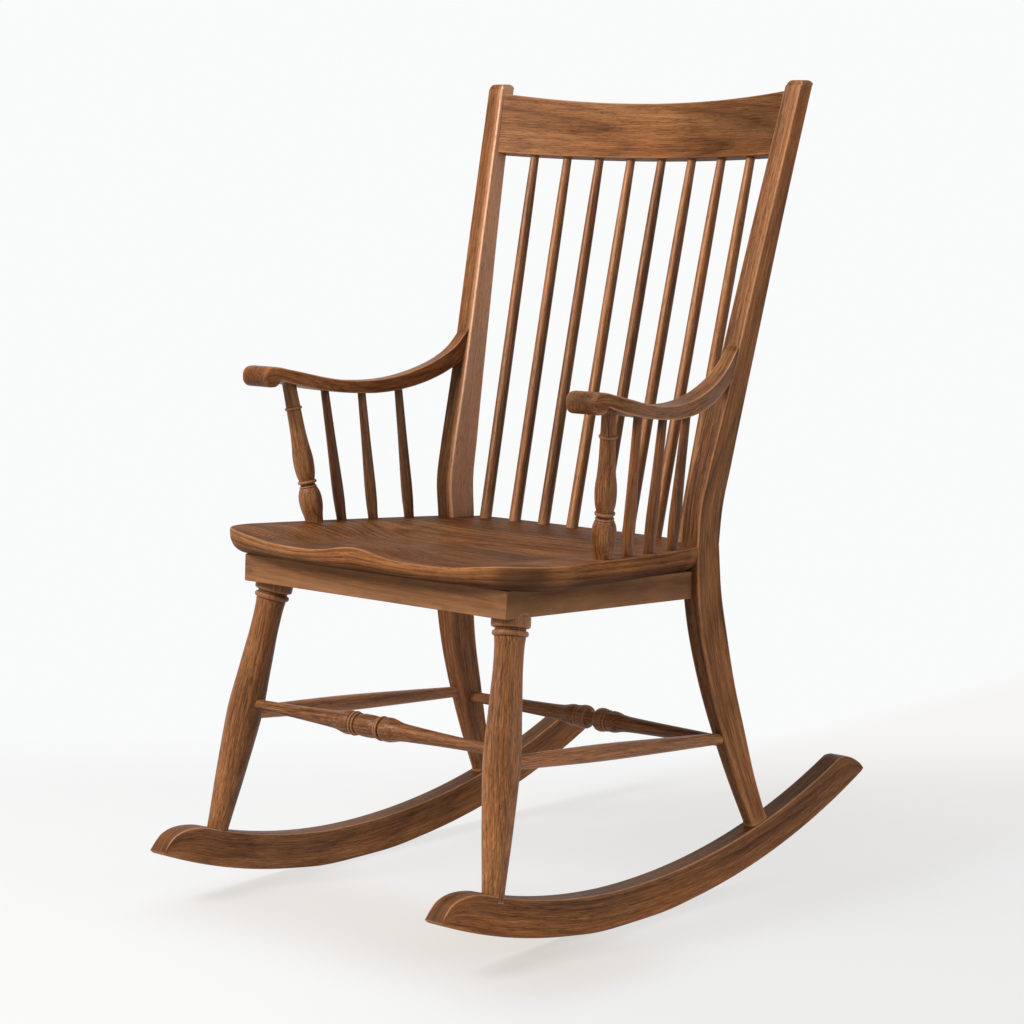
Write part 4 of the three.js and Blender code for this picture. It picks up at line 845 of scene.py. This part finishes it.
def make_stretchers():
    # the front stretcher has painted shade at its near end, and the side stretchers' high gain is painted light
    make_stretcher("stretcher_front", FRONT_STRETCHER, FRONT_STRETCHER_RADIUS, leg_point(1, FRONT_STRETCHER_HEIGHT),
                   leg_point(-1, FRONT_STRETCHER_HEIGHT), 61, 1.18, 0.58)
    ends = [post_middle(side, BACK_STRETCHER_HEIGHT) for side in (1, -1)]
    make_stretcher("stretcher_back", BACK_STRETCHER, BACK_STRETCHER_RADIUS, *ends, 63, 1.0)
    for word, side in SIDES.items():
        front, back = leg_point(side, SIDE_STRETCHER_FRONT_HEIGHT), post_middle(side, SIDE_STRETCHER_BACK_HEIGHT)
        back[1] = post_at(SIDE_STRETCHER_BACK_HEIGHT)["front"] + 8
        make_stretcher("stretcher_side_" + word, SIDE_STRETCHER, SIDE_STRETCHER_RADIUS, front, back, 65 + side, 2.25)


# Crest rail
crest_low = BACK_HEIGHT - CREST_BELOW_TOP
low_post, high_post = post_at(crest_low), post_at(crest_low + CREST_MIDDLE_HEIGHT)
RAKE = math.atan2(high_post["front"] - low_post["front"], CREST_MIDDLE_HEIGHT)
crest_place = low_post["front"] + low_post["depth"] / 2 + CREST_BOW * math.cos(RAKE) + CREST_SETBACK
CREST_ORIGIN = np.array([0, crest_place, crest_low])
CREST_HALF = low_post["outer"] - POST_WIDTH / 2


def on_crest(x, y, z):
    """A place in the crest rail's frame, which leans back with the posts."""
    c, s = math.cos(RAKE), math.sin(RAKE)
    return CREST_ORIGIN + (x, c * y + s * z, -s * y + c * z)


def crest_bow(x):
    return -CREST_BOW * (x / CREST_HALF) ** 2


def crest_tone(x, z):
    """Tone of the crest rail: lighter to the far end, with two dark clouds in its figure."""
    across, high = x / CREST_HALF, z / CREST_MIDDLE_HEIGHT
    far_cloud = math.exp(-((across + 0.46) / 0.4) ** 2 - ((high - 0.56) / 0.2) ** 2)
    near_cloud = math.exp(-((across - 0.74) / 0.3) ** 2 - ((high - 0.62) / 0.26) ** 2)
    return (1.45 - 0.58 * smoothstep((x + 30) / 150)) * (1 - 0.34 * far_cloud - 0.34 * near_cloud)


def make_crest():
    half = CREST_THICKNESS / 2
    rings, grains = [], []
    for x in np.linspace(-CREST_HALF, CREST_HALF, 72):
        tall = mix(CREST_MIDDLE_HEIGHT, CREST_END_HEIGHT, (x / CREST_HALF) ** 2)
        section = rounded(-half, half, 0, tall, CREST_EDGE_RADIUS, steps=5, cuts=5)
        rings.append([on_crest(x, crest_bow(x) + y, z) for y, z in section])
        grains.append([(y, z, x) for y, z in section])
    # painted highlights along the crest rail's edges
    line = lit_corners(len(rings[0]), 5, 5, 0.9)
    tone = [crest_tone(x, z) * edge for ring in grains for (_, z, x), edge in zip(ring, line)]
    solid("crest_rail", rings, grains, crest_wood, (0.06, 0.02, 1.3), tone)


# Back spindles
# From the foot to the top: share of the length, share of the change in radius
BACK_SPINDLE_TAPER = [(0, 0), (.05, .04), (.12, .11), (.28, .17), (.5, .3), (.61, .35), (.745, .457), (.87, .67),
                      (.95, .91), (1, 1)]


def make_back_spindle(index):
    place = index - (BACK_SPINDLES - 1) / 2
    aside = place / ((BACK_SPINDLES - 1) / 2)
    foot = on_seat(place * BACK_SPINDLE_SEAT_PITCH, BACK_SPINDLE_ROW - BACK_SPINDLE_ROW_BOW * aside ** 2, 0)
    top_x = place * BACK_SPINDLE_CREST_PITCH
    top = on_crest(top_x, crest_bow(top_x) + BACK_SPINDLE_SETBACK, 0)
    length = math.dist(foot, top)
    outline = tapered(BACK_SPINDLE_TAPER, BACK_SPINDLE_RADII, -12, length + 12, 22)
    tone = 1.02 + 0.12 * math.sin(2.3 * index + 0.7)
    # painted shade towards the seat and the crest, and a painted highlight
    lathe("back_spindle_%d" % (index + 1), outline, foot, top, offset(71 + index, 0.03), tone, 40, (-3, 0), 1.5)


# Arms
ARM_TOP = SEAT_HEIGHT + ARM_ABOVE_SEAT
arm_post = post_at(ARM_TOP + ARM_RISE)
ARM_TIP = arm_post["front"] - ARM_LENGTH
# The rounded front end, seen from the side and from above
NOSE_RADIUS = 12.0
NOSE_SIDE = 6.0
# The near arm isn't quite the far one's mirror image
NEAR_NOSE_PUSH, NEAR_ARM_ASIDE = 4.5, 3.6
ARM_END_DEPTH = 9  # of its hidden end in the back post


def arm_at(share):
    """The arm at a share of its length: its place out and along, top, width, thickness and slope across."""
    line, dip, rise, width, thickness, fall = (along(ARM_TABLE, share, c) for c in range(1, 7))
    return (mix(arm_post["outer"] - arm_post["width"] / 2, ARM_NOSE_PLACE, line), ARM_TIP + ARM_LENGTH * share,
            ARM_TOP + ARM_DIP * dip + ARM_RISE * rise, mix(ARM_BACK_WIDTH, ARM_NOSE_WIDTH, width),
            ARM_THICKNESS * thickness, fall)


def arm_tone_and_light(side, d, from_top):
    """Tone and painted light of the arm: dark at both ends, and painted light on top towards the back post and on the
    far arm's front.
    """
    level = mix(0.7, 1.08, smoothstep((d - 1) / 9)) * mix(1.0, 0.5, smoothstep((d - ARM_LENGTH + 7) / 6))
    level *= 1.1 if side > 0 else mix(1.42, 1.02, smoothstep((d - 50) / 220))
    pale = mix(1.0, 1.45 if side > 0 else 1.2, smoothstep((d - 210) / 90))
    return level * mix(1.0, pale, smoothstep((1.2 - from_top) / 1.2))


def make_arm(word, side):
    tip = [NOSE_RADIUS * (1 - math.cos(math.pi / 2 * k / 14)) for k in range(1, 15)]
    stations = [0.02] + tip + list(np.linspace(NOSE_RADIUS, ARM_LENGTH, 90)[1:])
    rings, grains, tone = [], [], []
    for d in stations:
        out, place, top, width, thickness, fall = arm_at(d / ARM_LENGTH)
        round_up = math.sqrt(1 - (1 - min(d, NOSE_RADIUS) / NOSE_RADIUS) ** 2)
        pull = NOSE_SIDE - math.sqrt(max(0.0, NOSE_SIDE ** 2 - (NOSE_SIDE - min(d, NOSE_SIDE)) ** 2))
        half = width / 2 - pull
        middle = top - thickness / 2
        tall = max(thickness * round_up, 0.8)
        edge = mix(4.6, 2.2, smoothstep((d - 14) / 14))
        section = rounded(-half, half, middle - tall / 2, middle + tall / 2, edge, steps=6, cuts=5)
        push = NEAR_NOSE_PUSH * max(0.0, 1 - d / 70) if side > 0 else 0.0
        aside = NEAR_ARM_ASIDE * smoothstep((d / ARM_LENGTH - 0.55) / 0.25) if side > 0 else 0.0
        ring = []
        for x, z in section:
            # the arm stays within the outer face of the post
            post = post_at(z - fall * x)
            limit = post["outer"] - 0.4 + 0.3 * max(0.0, post["front"] - place)
            ring.append((side * min(out + x + aside, limit), place + push, z - fall * x))
        rings.append(ring)
        # painted highlights along the arm's edges
        line = lit_corners(len(section), 6, 5, 1.2 * smoothstep((d - 14) / 12))
        tone += [arm_tone_and_light(side, d, middle + tall / 2 - z) * k for (_, z), k in zip(section, line)]
        grains.append([(x, z - top, place) for x, z in section])
    last, before = np.array(rings[-1]), np.array(rings[-2])
    rings.append(last + (last - before) * (ARM_END_DEPTH / max(1e-6, (last - before)[0][1])))
    grains.append([(x, z, y + ARM_END_DEPTH) for x, z, y in grains[-1]])
    tone += tone[-len(rings[0]):]
    solid("arm_" + word, rings, grains, arm_wood, offset(83 + side), tone, sharp_start=False)


ARM_POST = (swept([(-.03, .74), (0, .75), (.05, .83), (.1, .95), (.155, 1), (.205, .94), (.238, .8), (.25, .72)])
            + bead(.257, .006, .66, .76, 6) + [(.266, .64), (.276, .64)] + bead(.290, .011, .7, .82, 8)
            + swept([(.304, .68), (.35, .81), (.42, .875), (.48, .86), (.56, .75), (.66, .665), (.8, .625),
                     (.81, .62)])
            + bead(.8265, .011, .63, .74, 8) + swept([(.843, .62), (.92, .6), (1, .59)]))
# From the foot to the top: share of the length, share of the change in radius
ARM_SPINDLE_TAPER = [(0, 0), (.1, -.2), (.19, -.85), (.28, -1), (.36, -.8), (.5, -.25), (.64, .22), (.8, .55),
                     (.92, .78), (1, .95)]


def arm_socket(side, place):
    """End of a mortise in the arm's under side, at a place in front of the seat's back edge."""
    out, y, top, _, thickness, _ = arm_at((SEAT_BACK_PLACE - place - ARM_TIP) / ARM_LENGTH)
    return np.array([side * out, y, top - thickness + ARM_SOCKET])


def seat_edge(side, place, inside):
    return on_seat(side * (seat_half_width(-place) - inside), -place, 0)


def make_arm_post(word, side):
    foot = seat_edge(side, ARM_POST_SEAT_PLACE, ARM_POST_INSET)
    top = arm_socket(side, ARM_POST_ARM_PLACE)
    length = math.dist(foot, top) - ARM_SOCKET
    # the near post's two rings lie a little higher
    raised = [(-1, -1), (0, 0), (.29, .314 if side > 0 else .29), (.8265, .834 if side > 0 else .8265), (1, 1)]
    outline = [(ARM_POST_RADIUS * size, length * np.interp(share, *zip(*raised))) for share, size in ARM_POST]
    outline.append((outline[-1][0], length + 6))
    lathe("arm_post_" + word, outline, foot, top, offset(91 + side, 0.03), 1.05)


def make_arm_spindle(word, side, index):
    foot = seat_edge(side, ARM_SPINDLE_SEAT_PLACES[index], ARM_SPINDLE_INSET)
    top = arm_socket(side, ARM_SPINDLE_ARM_PLACES[index])
    length = math.dist(foot, top)
    outline = tapered(ARM_SPINDLE_TAPER, ARM_SPINDLE_RADII, -14, length - 3, 34)
    # painted shade, more on the far arm's spindles, and towards the seat and the arm
    tone = (0.92 if side > 0 else 0.76) + 0.1 * math.cos(1.7 * index + side)
    lathe("arm_spindle_%s_%d" % (word, index + 1), outline, foot, top, offset(101 + 3 * side + index, 0.03), tone,
          32, (-3, ARM_SOCKET))


make_seat()
make_apron()
make_crest()
make_stretchers()
for word, side in SIDES.items():
    make_rocker(word, side)
    make_post(word, side)
    make_leg(word, side)
    make_arm(word, side)
    make_arm_post(word, side)
    for index in range(3):
        make_arm_spindle(word, side, index)
for index in range(BACK_SPINDLES):
    make_back_spindle(index)


# Studio: the camera's turn and tilt, and the two level directions of its view, away from it and to its right
YAW, PITCH = math.radians(42.0), math.radians(7.6015)
FORWARD = Vector((-math.sin(YAW), math.cos(YAW), 0))
ACROSS = Vector((math.cos(YAW), math.sin(YAW), 0))
FLOOR_START, FLOOR_END, FLOOR_HALF_WIDTH, WALL_RADIUS, WALL_TOP = -4.0, 3.2, 7.0, 1.6, 5.0
PAPER_LIGHT, PAPER_SHADOWED, PAPER_SHADE = (0.955, 0.96, 0.96, 1), (0.823, 0.823, 0.815, 1), (0.88, 0.83, 0.785, 1)
PAPER_COLOUR = (0.69, 0.685, 0.675, 1)


def paper():
    """Paper that glows evenly for the camera, with soft shades as in the photograph, and is plain for the lamps."""
    n = Nodes("studio_paper")
    seen = n.add("ShaderNodeLightPath").outputs
    direct = n.math("MAXIMUM", seen["Is Glossy Ray"], seen["Is Transmission Ray"])
    direct = n.math("MAXIMUM", seen["Is Camera Ray"], direct)
    x, y, _ = n.add("ShaderNodeSeparateXYZ", {0: n.add("ShaderNodeNewGeometry").outputs["Position"]}).outputs
    far = n.scaled(y, FORWARD.y, n.times(x, FORWARD.x))
    right = n.scaled(y, ACROSS.y, n.times(x, ACROSS.x))

    def eased(value, low, high, start, end):
        return n.add("ShaderNodeMapRange",
                     {"Value": value, "From Min": low, "From Max": high, "To Min": start, "To Max": end},
                     interpolation_type="SMOOTHSTEP").outputs[0]

    away = eased(far, 0.45, 0.95, 0.78, 1.0)
    # painted shadow on the paper to the right of the chair, deepest in front
    shadowed = n.times(eased(far, 0.35, 0.85, 1.0, 0.0), eased(right, -0.3, 0.15, 0.0, 1.0))
    shadowed = n.times(shadowed, eased(far, -0.3, 0.12, 0.62, 0.25))
    # the soft shade under the front of the chair
    under = n.times(eased(y, -0.52, -0.3, 0.0, 1.0), eased(y, -0.25, -0.08, 1.0, 0.25))
    beside = n.times(eased(x, -0.3, -0.18, 0.0, 1.0), eased(x, 0.33, 0.46, 1.0, 0.0))
    glowing = n.blend(shadowed, PAPER_LIGHT, PAPER_SHADOWED)
    glowing = n.blend(n.times(under, beside), glowing, PAPER_SHADE, "MULTIPLY")
    plain = n.add("ShaderNodeBsdfDiffuse", {"Color": PAPER_COLOUR})
    glow = n.add("ShaderNodeEmission", {"Color": glowing, "Strength": 1.0})
    both = n.add("ShaderNodeMixShader", {0: n.times(direct, away), 1: plain.outputs[0], 2: glow.outputs[0]})
    n.add("ShaderNodeOutputMaterial", {"Surface": both.outputs[0]})
    return n.material


def backdrop():
    """A floor that bends up into a wall behind the chair."""
    profile = [(FLOOR_START, 0.0)]
    for turn in np.linspace(0, math.pi / 2, 24):
        profile.append((FLOOR_END + WALL_RADIUS * math.sin(turn), WALL_RADIUS * (1 - math.cos(turn))))
    profile.append((FLOOR_END + WALL_RADIUS, WALL_TOP))
    points = [tuple(FORWARD * reach + ACROSS * aside + Vector((0, 0, height)))
              for reach, height in profile for aside in (-FLOOR_HALF_WIDTH, FLOOR_HALF_WIDTH)]
    faces = [(2 * k, 2 * k + 1, 2 * k + 3, 2 * k + 2) for k in range(len(profile) - 1)]
    mesh = skin("studio_floor", points, faces)
    mesh.materials.append(paper())
    add_object("studio_floor", mesh)


def lamp(name, left, near, height, target_height, size, power, colour):
    """A round lamp left of the camera's view and nearer than the chair, aimed at its upright middle line."""
    place = Vector((0, 0, height)) - ACROSS * left - FORWARD * near
    data = bpy.data.lights.new(name, "AREA")
    data.shape, data.size, data.energy, data.color = "DISK", size, power, colour
    obj = add_object(name, data)
    obj.location = place
    obj.rotation_euler = (Vector((0, 0, target_height)) - place).to_track_quat("-Z", "Y").to_euler()


backdrop()
lamp("key", 2.3, 1.3, 2.6, 0.5, 1.3, 118, (1.0, 0.99, 0.97))
lamp("fill", -2.4, 1.8, 1.5, 0.45, 1.8, 30, (0.97, 0.985, 1.0))
world_light = bpy.data.worlds.new("studio_world")
bpy.context.scene.world = world_light
world_light.use_nodes = True
surround = world_light.node_tree.nodes["Background"].inputs
surround["Color"].default_value = (1, 1, 1, 1)
surround["Strength"].default_value = 0.46

# The camera that was fitted to the photograph
camera_data = bpy.data.cameras.new("camera")
camera_data.sensor_width, camera_data.lens = 36.0, 100.15
camera = add_object("camera", camera_data)
aim = Vector((-math.sin(YAW) * math.cos(PITCH), math.cos(YAW) * math.cos(PITCH), -math.sin(PITCH)))
camera.location = (2.399015, (-2610.519 + CHAIR_Y) / 1000.0, 0.955812)
camera.rotation_euler = aim.to_track_quat("-Z", "Y").to_euler()
bpy.context.scene.camera = camera
bpy.context.scene.view_settings.view_transform = "Standard"

bpy.context.view_layer.update()
